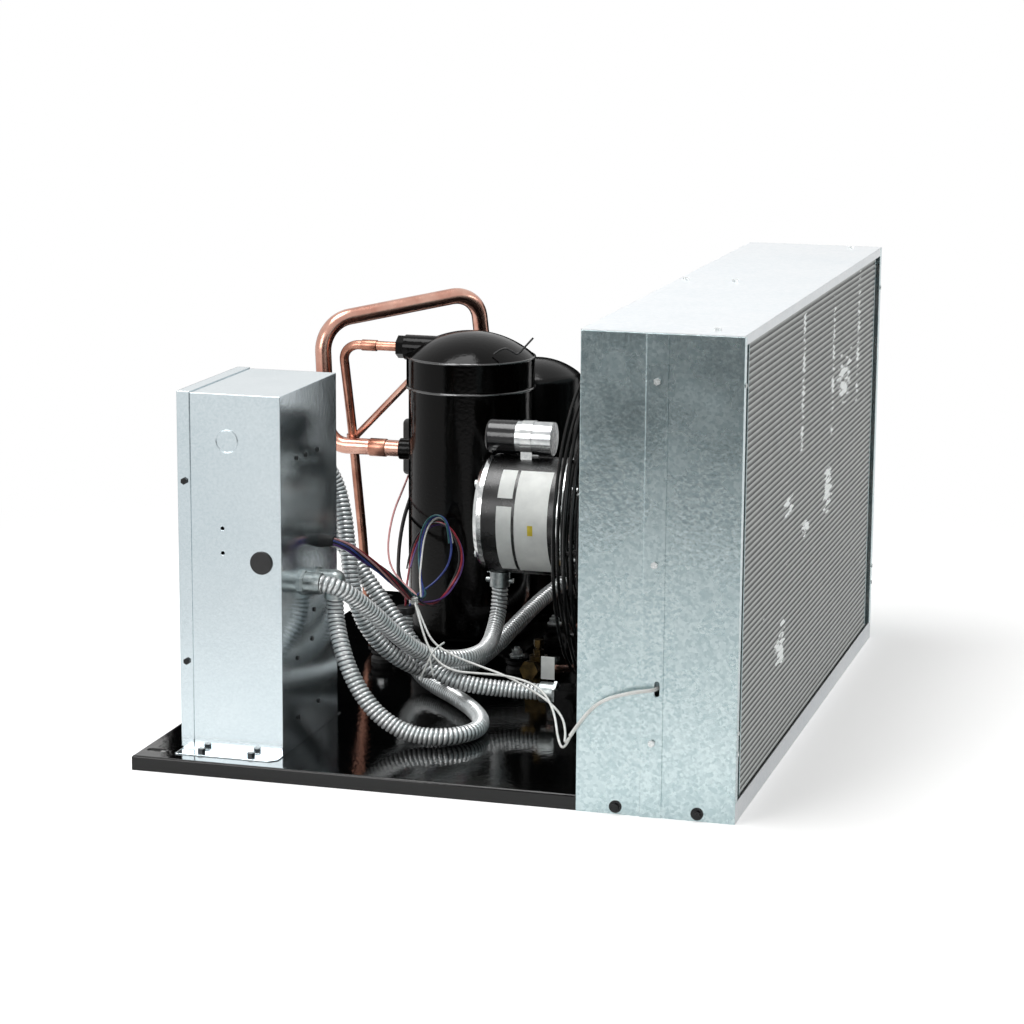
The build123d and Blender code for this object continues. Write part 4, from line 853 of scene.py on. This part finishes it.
@dataclass(frozen=True)
class Cord:
    """One cord: its node, its route in millimetres, its radius and how it looks and ends."""

    name: str
    route_mm: tuple[Point, ...]
    radius_mm: float
    finish: Finish
    slot: str
    sheath: Sheath = Sheath.PLAIN
    stiffness: str = "medium"


CONDUIT_MM = 10.8
WIRE_MM = 1.4

CORDS = (
    Cord("conduit_motor", (
        (-170, -346, 217), (-150, -346, 217), (-124, -304, 180), (-104, -256, 136), (-85, -214, 105),
        (-61, -187, 93), (-42, -150, 88), (-37, -100, 85), (-42, -52, 87), (-46, -14, 103),
        (-46, 0, 127), (-46, 0, 148),
    ), CONDUIT_MM, Coat.CONDUIT, "conduit_grey", Sheath.STRIP, stiffness="stiff"),
    Cord("conduit_loop", (
        (-172, -292, 188), (-172, -292, 166), (-156, -315, 130), (-136, -326, 92), (-107, -330, 55),
        (-66, -327, 31), (-20, -318, 29.4), (6, -284, 29.4), (2, -236, 29.4), (-27, -182, 29.4),
        (-65, -133, 29.4), (-105, -90, 29.4), (-139, -58, 36), (-160, -39, 60), (-168, -31, 90),
        (-166, -30, 116),
    ), CONDUIT_MM, Coat.CONDUIT, "conduit_grey", Sheath.STRIP, stiffness="stiff"),
    Cord("conduit_shroud", (
        (-225, -198, 335), (-225, -180, 335), (-214, -163, 304), (-202, -170, 265), (-194, -179, 222),
        (-188, -184, 180), (-176, -183, 138), (-156, -175, 104), (-131, -161, 80), (-107, -144, 65),
        (-84, -112, 56), (-66, -60, 54), (-53, 2, 64), (-42, 75, 82), (-29, 152, 100), (-6, 222, 117),
        (38, 276, 129), (100, 296, 131), (159, 296, 131),
    ), CONDUIT_MM, Coat.CONDUIT, "conduit_grey", Sheath.STRIP, stiffness="stiff"),
    Cord("conduit_switch", (
        (-256, -198, 300), (-256, -180, 300), (-240, -160, 268), (-214, -156, 232), (-187, -158, 196),
        (-155, -162, 157), (-121, -167, 116), (-94, -171, 82), (-65, -173, 64), (-28, -168, 56),
        (13, -150, 50), (52, -150, 50),
    ), CONDUIT_MM, Coat.CONDUIT, "conduit_grey", Sheath.STRIP, stiffness="stiff"),
    Cord("sensor_cable", (
        (277, -463, 152.5), (277, -474.5, 152.4), (264, -479, 151), (245, -479, 147), (214, -477, 136),
        (192, -474.5, 114), (177, -474, 90),
    ), 2.2, Coat.WHITE, "cable_white"),
    Cord("sensor_wire_front", (
        (176.5, -475.8, 88.4), (169, -471, 78), (163, -441, 83), (146, -392, 89), (113, -336, 91),
        (70, -276, 89), (30, -230, 89), (-10, -206, 92), (-46, -204, 102), (-76, -197, 115),
        (-95, -176, 134), (-111, -157, 154),
    ), WIRE_MM, Coat.WHITE, "cable_white"),
    Cord("sensor_wire_rear", (
        (176.5, -472.2, 88.4), (167, -463, 69), (152, -434, 70), (134, -386, 95), (101, -330, 106),
        (52, -288, 105), (6, -254, 96), (-36, -240, 92), (-62, -230, 102), (-80, -213, 121),
        (-95, -190, 139), (-110, -164, 157),
    ), WIRE_MM, Coat.WHITE, "cable_white"),
    Cord("control_harness", (
        (-196, -284, 257), (-168, -284, 257), (-146, -256, 232), (-129, -207, 199), (-118, -161, 165),
    ), 4.0, Coat.BLACK_WIRE, "harness_black"),
    Cord("harness_loop_red", (
        (-115.69, -162.51, 163.7), (-111.91, -146.72, 152.03), (-109, -112, 143), (-112, -70, 136),
        (-117, -26, 133), (-116, 8, 140), (-107, 28, 163), (-110, 37, 190), (-128, 42, 215),
        (-150, 43, 220), (-168, 42, 205), (-178, 34, 180), (-175, 12, 160),
    ), WIRE_MM, Coat.RED_WIRE, "wire_red"),
    Cord("harness_loop_blue", (
        (-115.25, -160.7, 166.3), (-111.47, -144.91, 154.63), (-115, -120, 151), (-123, -90, 151),
        (-134, -56, 149), (-148, -22, 156), (-158, 8, 175), (-160, 20, 202), (-153, 27, 225),
        (-138, 29, 233), (-124, 27, 220), (-120, 22, 196),
    ), WIRE_MM, Coat.BLUE_WIRE, "wire_blue"),
    Cord("terminal_wire", (
        (-118.38, -158.27, 168.57), (-114.6, -142.48, 156.9), (-124, -118, 158), (-152, -90, 165),
        (-180, -52, 175), (-202, 2, 188), (-217, 58, 205), (-227, 110, 221), (-233, 158, 233),
        (-236, 196, 249.2),
    ), WIRE_MM, Coat.PINK_WIRE, "wire_pink"),
    Cord("terminal_cable", (
        (-119.85, -160.56, 165), (-116.07, -144.77, 153.33), (-124, -118, 150), (-148, -86, 153),
        (-173, -40, 160), (-191, 14, 172), (-206, 68, 189), (-217, 118, 206), (-224, 166, 222),
        (-226, 206, 248),
    ), 2.6, Coat.BLACK_WIRE, "harness_black"),
)


@dataclass(frozen=True)
class Strand:
    """One thin wire that lies along a cord, wound slowly round it."""

    name: str
    along: str
    offset_mm: float
    start_deg: float
    finish: Finish
    slot: str
    turn_deg: float = 200.0
    radius_mm: float = 1.2


STRANDS = (
    Strand("harness_strand_red", "control_harness", 4.6, 20, Coat.RED_WIRE, "wire_red"),
    Strand("harness_strand_pink", "control_harness", 4.6, 70, Coat.PINK_WIRE, "wire_pink"),
    Strand("harness_strand_blue", "control_harness", 4.6, 125, Coat.BLUE_WIRE, "wire_blue"),
    Strand("harness_strand_purple", "control_harness", 4.6, 180, Coat.PURPLE_WIRE, "wire_blue"),
    Strand("harness_strand_white", "control_harness", 4.6, 235, Coat.WHITE, "cable_white"),
    Strand("harness_strand_teal", "control_harness", 4.6, 300, Coat.TEAL_WIRE, "wire_blue"),
    Strand("loop_strand_purple", "harness_loop_red", 3.2, 0, Coat.PURPLE_WIRE, "wire_blue", 420),
    Strand("loop_strand_black", "harness_loop_red", 3.2, 130, Coat.BLACK_WIRE, "harness_black", 420),
    Strand("loop_strand_teal", "harness_loop_blue", 3.2, 60, Coat.TEAL_WIRE, "wire_blue", 420),
    Strand("loop_strand_white", "harness_loop_blue", 3.2, 210, Coat.WHITE, "cable_white", 420),
)


@dataclass(frozen=True)
class Tube:
    """A cord's finished piece, its length in metres, and its path where it is a mesh."""

    piece: Item
    length: float
    path: Optional[list[tuple[float, ...]]] = None


def run_length(points: Sequence[Vector]) -> float:
    """Return the length of a line of points."""
    return sum((b - a).length for a, b in zip(points, points[1:]))


class Cords(SubAssembly):
    """The conduits, cables and wires, each on its own smooth line."""

    strip_pitch = 5.6 * MM          # one turn of interlocked strip
    strip_depth = 1.4 * MM          # groove between two turns
    samples = 8                     # rings to one turn of strip
    sides = 20
    strand_step = 6 * MM            # between two control points of a strand

    def build(self) -> None:
        """Build every cord and the strands along it."""
        for cord in CORDS:
            line = curve_by(cord.name, metres(cord.route_mm))
            strands = [self.strand(strand, line) for strand in STRANDS if strand.along == cord.name]
            tube = self.strip_tube(cord, line) if cord.sheath is Sheath.STRIP else self.sheathed(cord, line)
            self.keep(tube.piece, cord.name + "_cord", cord.finish, cord.slot, replaces=[cord.name])

    def centreline(self, curve: bpy.types.Curve) -> list[Vector]:
        """Find the points that Blender draws along a curve with no bevel.

        Args:
            curve: The curve.

        Returns:
            The points in order.
        """
        holder = linked("route", curve)
        mesh = bpy.data.meshes.new_from_object(holder)
        points = [vertex.co.copy() for vertex in mesh.vertices]
        bpy.data.objects.remove(holder)
        bpy.data.meshes.remove(mesh)
        return points

    def even(self, curve: bpy.types.Curve, step: float) -> list[Vector]:
        """Space points evenly along a curve, its two ends included.

        Args:
            curve: The curve.
            step: About how far apart the points are.

        Returns:
            The points in order.
        """
        points = self.centreline(curve)
        marks = [0.0]
        for a, b in zip(points, points[1:]):
            marks.append(marks[-1] + (b - a).length)
        count = max(2, round(marks[-1] / step))
        spaced, index = [], 0
        for k in range(count + 1):
            reach = marks[-1] * k / count
            while index < len(points) - 2 and marks[index + 1] < reach:
                index += 1
            share = (reach - marks[index]) / max(1e-9, marks[index + 1] - marks[index])
            spaced.append(points[index].lerp(points[index + 1], min(1.0, share)))
        return spaced

    def frames(self, points: Sequence[Vector]) -> Iterable[tuple[Vector, Vector, Vector]]:
        """Carry two directions square to a line along it, without twist.

        Args:
            points: The line's points.

        Yields:
            Each point with its two directions.
        """
        side = Vector((0, 0, 1)).cross(points[1] - points[0])
        side = side.normalized() if side.length > 1e-6 else Vector((1, 0, 0))
        for k, point in enumerate(points):
            ahead = (points[min(k + 1, len(points) - 1)] - points[max(k - 1, 0)]).normalized()
            side = (side - ahead * side.dot(ahead)).normalized()
            yield point, side, ahead.cross(side)

    def strand(self, strand: Strand, curve: bpy.types.Curve) -> Item:
        """Wind one thin wire slowly round a cord's own line.

        Args:
            strand: The wire.
            curve: The cord's line.

        Returns:
            The wire's piece.
        """
        points = self.even(curve, self.strand_step)
        places = []
        for k, (point, side, other) in enumerate(self.frames(points)):
            angle = math.radians(strand.start_deg + strand.turn_deg * k / len(points))
            reach = side * math.cos(angle) + other * math.sin(angle)
            places.append(point + reach * strand.offset_mm * MM)
        item = wire(strand.name, curve_by(strand.name, places), strand.radius_mm)
        return self.keep(item, strand.name, strand.finish, strand.slot)

    def sheathed(self, cord: Cord, curve: bpy.types.Curve) -> Tube:
        """Return a plain round cord as a bevelled curve."""
        length = run_length(self.centreline(curve))
        return Tube(wire(cord.name, curve, cord.radius_mm, roundness=4), length)

    def strip_tube(self, cord: Cord, curve: bpy.types.Curve) -> Tube:
        """Model a conduit of wound strip as a mesh tube, whose groove winds round it as the strip does.

        Args:
            cord: The conduit.
            curve: Its line.

        Returns:
            The conduit with its length and the path that it follows.
        """
        points = self.even(curve, self.strip_pitch / self.samples)
        verts: list[Vector] = []
        groove_shade_shares: list[float] = []
        for k, (point, side, other) in enumerate(self.frames(points)):
            for n in range(self.sides):
                turn = n / self.sides
                phase = (k / self.samples + turn) % 1.0
                groove = (0.5 + 0.5 * math.cos(2 * math.pi * phase)) ** 2
                reach = cord.radius_mm * MM - self.strip_depth * groove
                angle = 2 * math.pi * turn
                # Share of painted shade in the groove at this point, kept in the mesh's groove attribute.
                groove_shade_shares.append(groove * groove)
                verts.append(point + (side * math.cos(angle) + other * math.sin(angle)) * reach)
        faces = []
        for k in range(len(points) - 1):
            for n in range(self.sides):
                a, b = k * self.sides + n, k * self.sides + (n + 1) % self.sides
                faces.append((a, b, b + self.sides, a + self.sides))
        last = (len(points) - 1) * self.sides
        faces.append(tuple(range(self.sides - 1, -1, -1)))
        faces.append(tuple(range(last, last + self.sides)))
        mesh = bpy.data.meshes.new(cord.name)
        mesh.from_pydata(verts, [], faces)
        mesh.attributes.new("groove", "FLOAT", "POINT").data.foreach_set("value", groove_shade_shares)
        item = smooth(linked(cord.name, mesh), 60.0)
        return Tube(item, run_length(points), [tuple(p) for p in points])


# Ties and small trim


@dataclass(frozen=True)
class Tail:
    """One short thin wire or tie: its route and its radius in millimetres."""

    name: str
    route_mm: tuple[Point, ...]
    radius_mm: float
    finish: Finish = Coat.WHITE
    slot: str = "cable_white"


TAILS = (
    Tail("conduit_tie", ((-56, -214, 121), (-62, -238, 118), (-68, -241, 102), (-79, -241, 78)), 1.2),
    Tail("conduit_tie_tail", ((-66, -240, 108), (-64, -242, 98), (-61, -243, 86)), 1.1),
    Tail("cap_lead", (
        (-84, 96, 440), (-72, 98, 450), (-60, 101, 444), (-54, 103, 439), (-46, 106, 448),
        (-34, 110, 462),
    ), 1.3, Coat.BLACK_WIRE, "harness_black"),
)
LOOP_LEADS = (
    Tail("loop_lead_red", (
        (-175, 12, 160), (-172, -9, 141), (-168, -25, 129), (-167, -30, 112),
    ), WIRE_MM, Coat.RED_WIRE, "wire_red"),
    Tail("loop_lead_blue", (
        (-120, 22, 196), (-117, 18, 174), (-134, -4, 146), (-158, -24, 132), (-164, -30, 112),
    ), WIRE_MM, Coat.BLUE_WIRE, "wire_blue"),
)


@dataclass
class Ties(SubAssembly):
    """The knot of the sensor wires, the ties and short leads, the loop conduit's bushing and the tag."""

    knot_at: Point = (-112.5 * MM, -159.5 * MM, 156 * MM)
    knot_turns: int = 3
    knot_rise: float = 3 * MM
    knot_radius: float = 3.6 * MM
    knot_cord: float = 1.3 * MM
    bushing_at: Point = (-166.2 * MM, -30.2 * MM, 114 * MM)
    bushing_radius: float = 12.2 * MM
    bushing_length: float = 10 * MM
    tag_low: Point = (36 * MM, -91 * MM, 51 * MM)
    tag_high: Point = (54 * MM, -90.4 * MM, 81 * MM)

    def build(self) -> None:
        """Tie the wires, finish the loop conduit's end and hang the tag."""
        self.knot()
        self.lay(TAILS)
        bushing = drum(self.bushing_at, self.bushing_radius, self.bushing_length, Axis.Z)
        self.keep(smooth(bevelled(bushing, 1.5, 3)), "loop_bushing", Coat.MOULDED, "terminal_plastic")
        self.lay(LOOP_LEADS)
        tag = brick(self.tag_low, self.tag_high)
        self.keep(bevelled(tag, 0.2, 1), "valve_tag", Coat.LABEL, "cable_white")

    def knot(self) -> None:
        """Knot the two sensor wires with a few turns of their own."""
        x, y, z = self.knot_at
        turns = [
            hoop((x, y, z + i * self.knot_rise), self.knot_radius, self.knot_cord, Axis.Z, 24)
            for i in range(self.knot_turns)
        ]
        self.keep(smooth(joined(turns), 60), "sensor_knot", Coat.WHITE, "cable_white")

    def lay(self, tails: Iterable[Tail]) -> None:
        """Lay short wires or ties along their routes.

        Args:
            tails: The wires or ties.
        """
        for tail in tails:
            item = wire(tail.name, curve_by(tail.name, metres(tail.route_mm)), tail.radius_mm)
            self.keep(item, tail.name, tail.finish, tail.slot)


# Base and casing


class BasePan(SubAssembly):
    """The pan and its screws."""

    def build(self) -> None:
        """Dress the pan and its screws."""
        self.dress(Coat.PAN, "base_pan")
        self.dress(Coat.BLACKENED, "base_screws")


class Casing(SubAssembly):
    """Galvanised casing round the coil."""

    def build(self) -> None:
        """Dress the casing's sheets and screws."""
        self.dress(Coat.CASING, "shroud_sides", "coil_sides", "shroud_panel", "coil_tube_sheets")
        self.dress(Coat.TOP, "condenser_top", "coil_bottom_rail")
        self.dress(Coat.PLATED, "casing_screws")


class Coil(SubAssembly):
    """Fins and copper of the coil."""

    def build(self) -> None:
        """Dress the coil's solids."""
        self.dress(Coat.FINS, "coil_fin_pack")
        self.dress(Coat.COPPER, "coil_return_bends", "coil_headers")


# Fan, guard and motor


@dataclass
class Guard(SubAssembly):
    """Wire basket round the fan: round rings welded on bent spokes, and the motor's ring."""

    axis_z: float = FAN_Z
    panel_x: float = 183.0 * MM
    face_x: float = 79.0 * MM
    outer: float = 226.0 * MM
    wire: float = 2.2 * MM
    spoke: float = 2.6 * MM
    spokes: int = 12
    side_rings: int = 7
    side_pitch: float = 8.8 * MM
    face_rings: int = 6
    first_face_ring: float = 0.8    # its place out from the motor's ring, in steps between rings
    bend: float = 12.0 * MM
    ring_in: float = 54.0 * MM
    ring_out: float = 76.0 * MM
    ring_lap: float = 8.0 * MM      # spoke's end over the motor's ring
    plate: float = 2.5 * MM

    def build(self) -> None:
        """Build the basket in place of its faceted solids."""
        spoke_r = self.outer - 2 * self.wire - self.spoke
        spoke_x = self.face_x + 2 * self.wire + self.spoke
        parts = [self.bent_spoke(spoke_r, spoke_x, 360.0 * i / self.spokes) for i in range(self.spokes)]
        first = spoke_x + self.bend + self.wire
        for i in range(self.side_rings):
            centre = (first + i * self.side_pitch, 0, self.axis_z)
            parts.append(hoop(centre, self.outer - self.wire, self.wire, Axis.X))
        step = (spoke_r - self.bend - self.ring_out) / self.face_rings
        for i in range(self.face_rings):
            radius = self.ring_out + (i + self.first_face_ring) * step + self.wire
            parts.append(hoop((self.face_x + self.wire, 0, self.axis_z), radius, self.wire, Axis.X))
        parts.append(self.motor_ring(spoke_x - self.spoke))
        basket = smooth(joined(parts))
        self.keep(basket, "guard_basket", Coat.GUARD, "guard_black", replaces=["fan_guard"])

    def bent_spoke(self, radius: float, face_x: float, turn_deg: float) -> Item:
        """Model one round wire from the panel along the side and in over the face.

        Args:
            radius: The wire's distance from the fan's axis along the side.
            face_x: The wire's place over the face.
            turn_deg: Its turn round the fan's axis.

        Returns:
            The spoke.
        """
        top = self.axis_z + radius
        spoke = disc((self.panel_x, 0, top), self.spoke, 10, (0, -math.pi / 2, 0))
        edit_all()
        extrude((face_x + self.bend - self.panel_x, 0, 0))
        bpy.ops.mesh.spin(
            steps=6, angle=-math.pi / 2, center=(face_x + self.bend, 0, top - self.bend), axis=(0, 1, 0),
            use_auto_merge=False,
        )
        extrude((0, 0, self.ring_out - self.ring_lap + self.axis_z - (top - self.bend)))
        bpy.ops.mesh.select_all(action="SELECT")
        bpy.ops.transform.rotate(
            value=math.radians(turn_deg), orient_axis="X", center_override=(0, 0, self.axis_z)
        )
        bpy.ops.object.mode_set(mode="OBJECT")
        return outward(spoke)

    def motor_ring(self, x: float) -> Item:
        """Return the flat ring that carries the motor, with its edges eased."""
        centre = (x - self.plate, 0, self.axis_z)
        ring = start_ring(centre, self.ring_out, self.ring_in, self.plate, 72)
        bpy.ops.object.mode_set(mode="OBJECT")
        return bevelled(outward(ring), 0.4, 1)


class Fan(SubAssembly):
    """Blades, hub, rivets and shaft."""

    body = ROTOR

    def build(self) -> None:
        """Dress the fan's solids."""
        self.dress(Coat.BLADE, "fan_blades")
        self.dress(Coat.HUB, "fan_hub", "fan_rivets")
        self.dress(Coat.SHAFT, "fan_shaft")


@dataclass(frozen=True)
class Label:
    """One bare label round the motor's shell.

    Its left and right edges lie along the motor, its upper and lower edges are turns round the
    motor from +Y over the top, and lift is how far it lies over another label.
    """

    name: str
    left_mm: float
    right_mm: float
    upper_deg: float
    lower_deg: float
    finish: Finish = Coat.LABEL
    lift_mm: float = 0.0


LABELS = (
    Label("motor_label_wide", -6, 38, 122, 238),
    Label("motor_label_upper", -30, -10, 122, 154),
    Label("motor_label_lower", -30, -10, 162, 236),
    Label("motor_label_spot", 12, 19, 179, 189, Coat.LABEL_DOT, lift_mm=0.2),
)


@dataclass
class Motor(SubAssembly):
    """Fan motor with its bare labels, and the run capacitor on it."""

    axis_z: float = FAN_Z
    radius: float = 77.0 * MM
    label_lift: float = 0.15 * MM
    label_sliver: float = 0.3 * MM  # height of the flat strip that is spun round the shell

    def build(self) -> None:
        """Dress the motor and add its labels."""
        self.dress(Coat.MOTOR, "motor_shell")
        self.dress(Coat.STRAP, "motor_end_bells")
        self.dress(Coat.PLATED, "motor_studs")
        self.dress(Coat.CAN, "capacitor_can")
        self.dress(Coat.BOOT, "capacitor_boot")
        self.dress(Coat.STRAP, "capacitor_strap")
        for label in LABELS:
            self.stick(label)

    def stick(self, label: Label) -> None:
        """Spin one label round the shell.

        Args:
            label: The label.
        """
        select_only()
        left, right = label.left_mm * MM, label.right_mm * MM
        reach = self.radius + self.label_lift + label.lift_mm * MM
        angle = math.radians(label.upper_deg)
        bpy.ops.mesh.primitive_plane_add(size=1.0)
        strip = bpy.context.object
        strip.scale = (right - left, self.label_sliver, 1.0)
        strip.location = (
            (left + right) / 2, reach * math.cos(angle), self.axis_z + reach * math.sin(angle)
        )
        strip.rotation_euler = (angle, 0, 0)
        settle(strip)
        edit_all()
        bpy.ops.mesh.spin(
            steps=24, angle=math.radians(label.upper_deg - label.lower_deg), center=(0, 0, self.axis_z),
            axis=(1, 0, 0),
        )
        bpy.ops.object.mode_set(mode="OBJECT")
        self.keep(smooth(outward(strip)), label.name, label.finish, "cable_white")


# Compressor, lines and receiver


@dataclass
class Compressor(SubAssembly):
    """Compressor with its feet, its fittings and the weld beads of its shell."""

    x: float = -134.0 * MM
    y: float = 155.0 * MM
    seam_z: float = 386.0 * MM
    shoulder_z: float = 427.0 * MM
    cap_radius: float = 86.6 * MM
    bead: float = 1.9 * MM

    def build(self) -> None:
        """Dress the compressor's solids and lay the beads."""
        for name, z in (("seam_bead", self.seam_z), ("shoulder_bead", self.shoulder_z)):
            bead = smooth(hoop((self.x, self.y, z), self.cap_radius, self.bead, Axis.Z, 128))
            self.keep(bead, "compressor_" + name, Coat.BEAD, "shell_black")
        self.dress(Coat.SHELL, "compressor_shell", "compressor_top_cap", "compressor_fittings")
        self.dress(Coat.TANK, "compressor_foot_plate")
        self.dress(Coat.RUBBER, "compressor_grommets")
        self.dress(Coat.PLATED, "compressor_bolts")
        self.dress(Coat.MOULDED, "compressor_terminal_box")


@dataclass(frozen=True)
class Sleeve:
    """One brazed sleeve along X: its two ends, its axis and its radius in millimetres."""

    name: str
    low_mm: float
    high_mm: float
    y_mm: float
    z_mm: float
    radius_mm: float


SLEEVES = (
    Sleeve("suction_sleeve", -276, -252, y_mm=150, z_mm=295, radius_mm=12.4),
    Sleeve("discharge_sleeve", -284, -262, y_mm=140, z_mm=437, radius_mm=7.6),
)


class Piping(SubAssembly):
    """Copper lines with their brazed sleeves, receiver and valves."""

    def build(self) -> None:
        """Dress the lines, the receiver and the valves, and add the sleeves."""
        for sleeve in SLEEVES:
            low, high = sleeve.low_mm * MM, sleeve.high_mm * MM
            middle = ((low + high) / 2, sleeve.y_mm * MM, sleeve.z_mm * MM)
            body = drum(middle, sleeve.radius_mm * MM, high - low, Axis.X)
            self.keep(smooth(bevelled(body, 1.0, 3)), sleeve.name, Coat.BROWNED, "copper")
        self.dress(Coat.COPPER, "suction_line", "branch_line", "liquid_lines")
        self.dress(Coat.BROWNED, "discharge_line")
        self.dress(Coat.TANK, "receiver_tank", "receiver_foot", "pressure_switch")
        self.dress(Coat.BRASS, "suction_valve", "liquid_valve", "shutoff_valve")


# Control box


@dataclass
class ControlBox(SubAssembly):
    """Plated box with its cover, connectors and what is inside."""

    boot_at: Point = (-194.0 * MM, -284.0 * MM, 257.0 * MM)
    boot_radius: float = 8.5 * MM
    bore: float = 4.3 * MM
    flange: float = 3 * MM
    boot_reach: float = 15.0 * MM
    taper: float = 0.72             # boot's tip over its root

    def harness_boot(self) -> None:
        """Model the soft boot where the harness leaves the box: a bored cone with a flange."""
        boot = start_ring(self.boot_at, self.boot_radius, self.bore, self.flange, 32)
        extrude((self.boot_reach, 0, 0))
        bpy.ops.transform.resize(value=(1, self.taper, self.taper))
        bpy.ops.object.mode_set(mode="OBJECT")
        self.keep(smooth(outward(boot), 50), "harness_boot", Coat.RUBBER, "grommet_rubber")

    def build(self) -> None:
        """Dress the box's solids and add the boot of the harness."""
        self.harness_boot()
        self.dress(Coat.BOX, "control_box_body", "control_box_cover")
        self.dress(Coat.BLACKENED, "box_screws")
        self.dress(Coat.MOULDED, "hole_plug", "contactor_base", "terminal_block")
        self.dress(Coat.ARMATURE, "contactor_armature")
        self.dress(Coat.DIECAST, "conduit_connectors")


def main() -> None:
    """Build the studio, then the cords, then each sub-assembly in order."""
    logging.basicConfig(level=logging.INFO, format="%(message)s")
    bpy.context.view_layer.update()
    Studio().build()
    for assembly in (
        Cords(), Ties(), BasePan(), Casing(), Coil(), Guard(), Fan(), Motor(), Compressor(), Piping(),
        ControlBox(),
    ):
        assembly.build()
        LOG.info("finished %s", type(assembly).__name__)


if __name__ == "__main__":
    main()
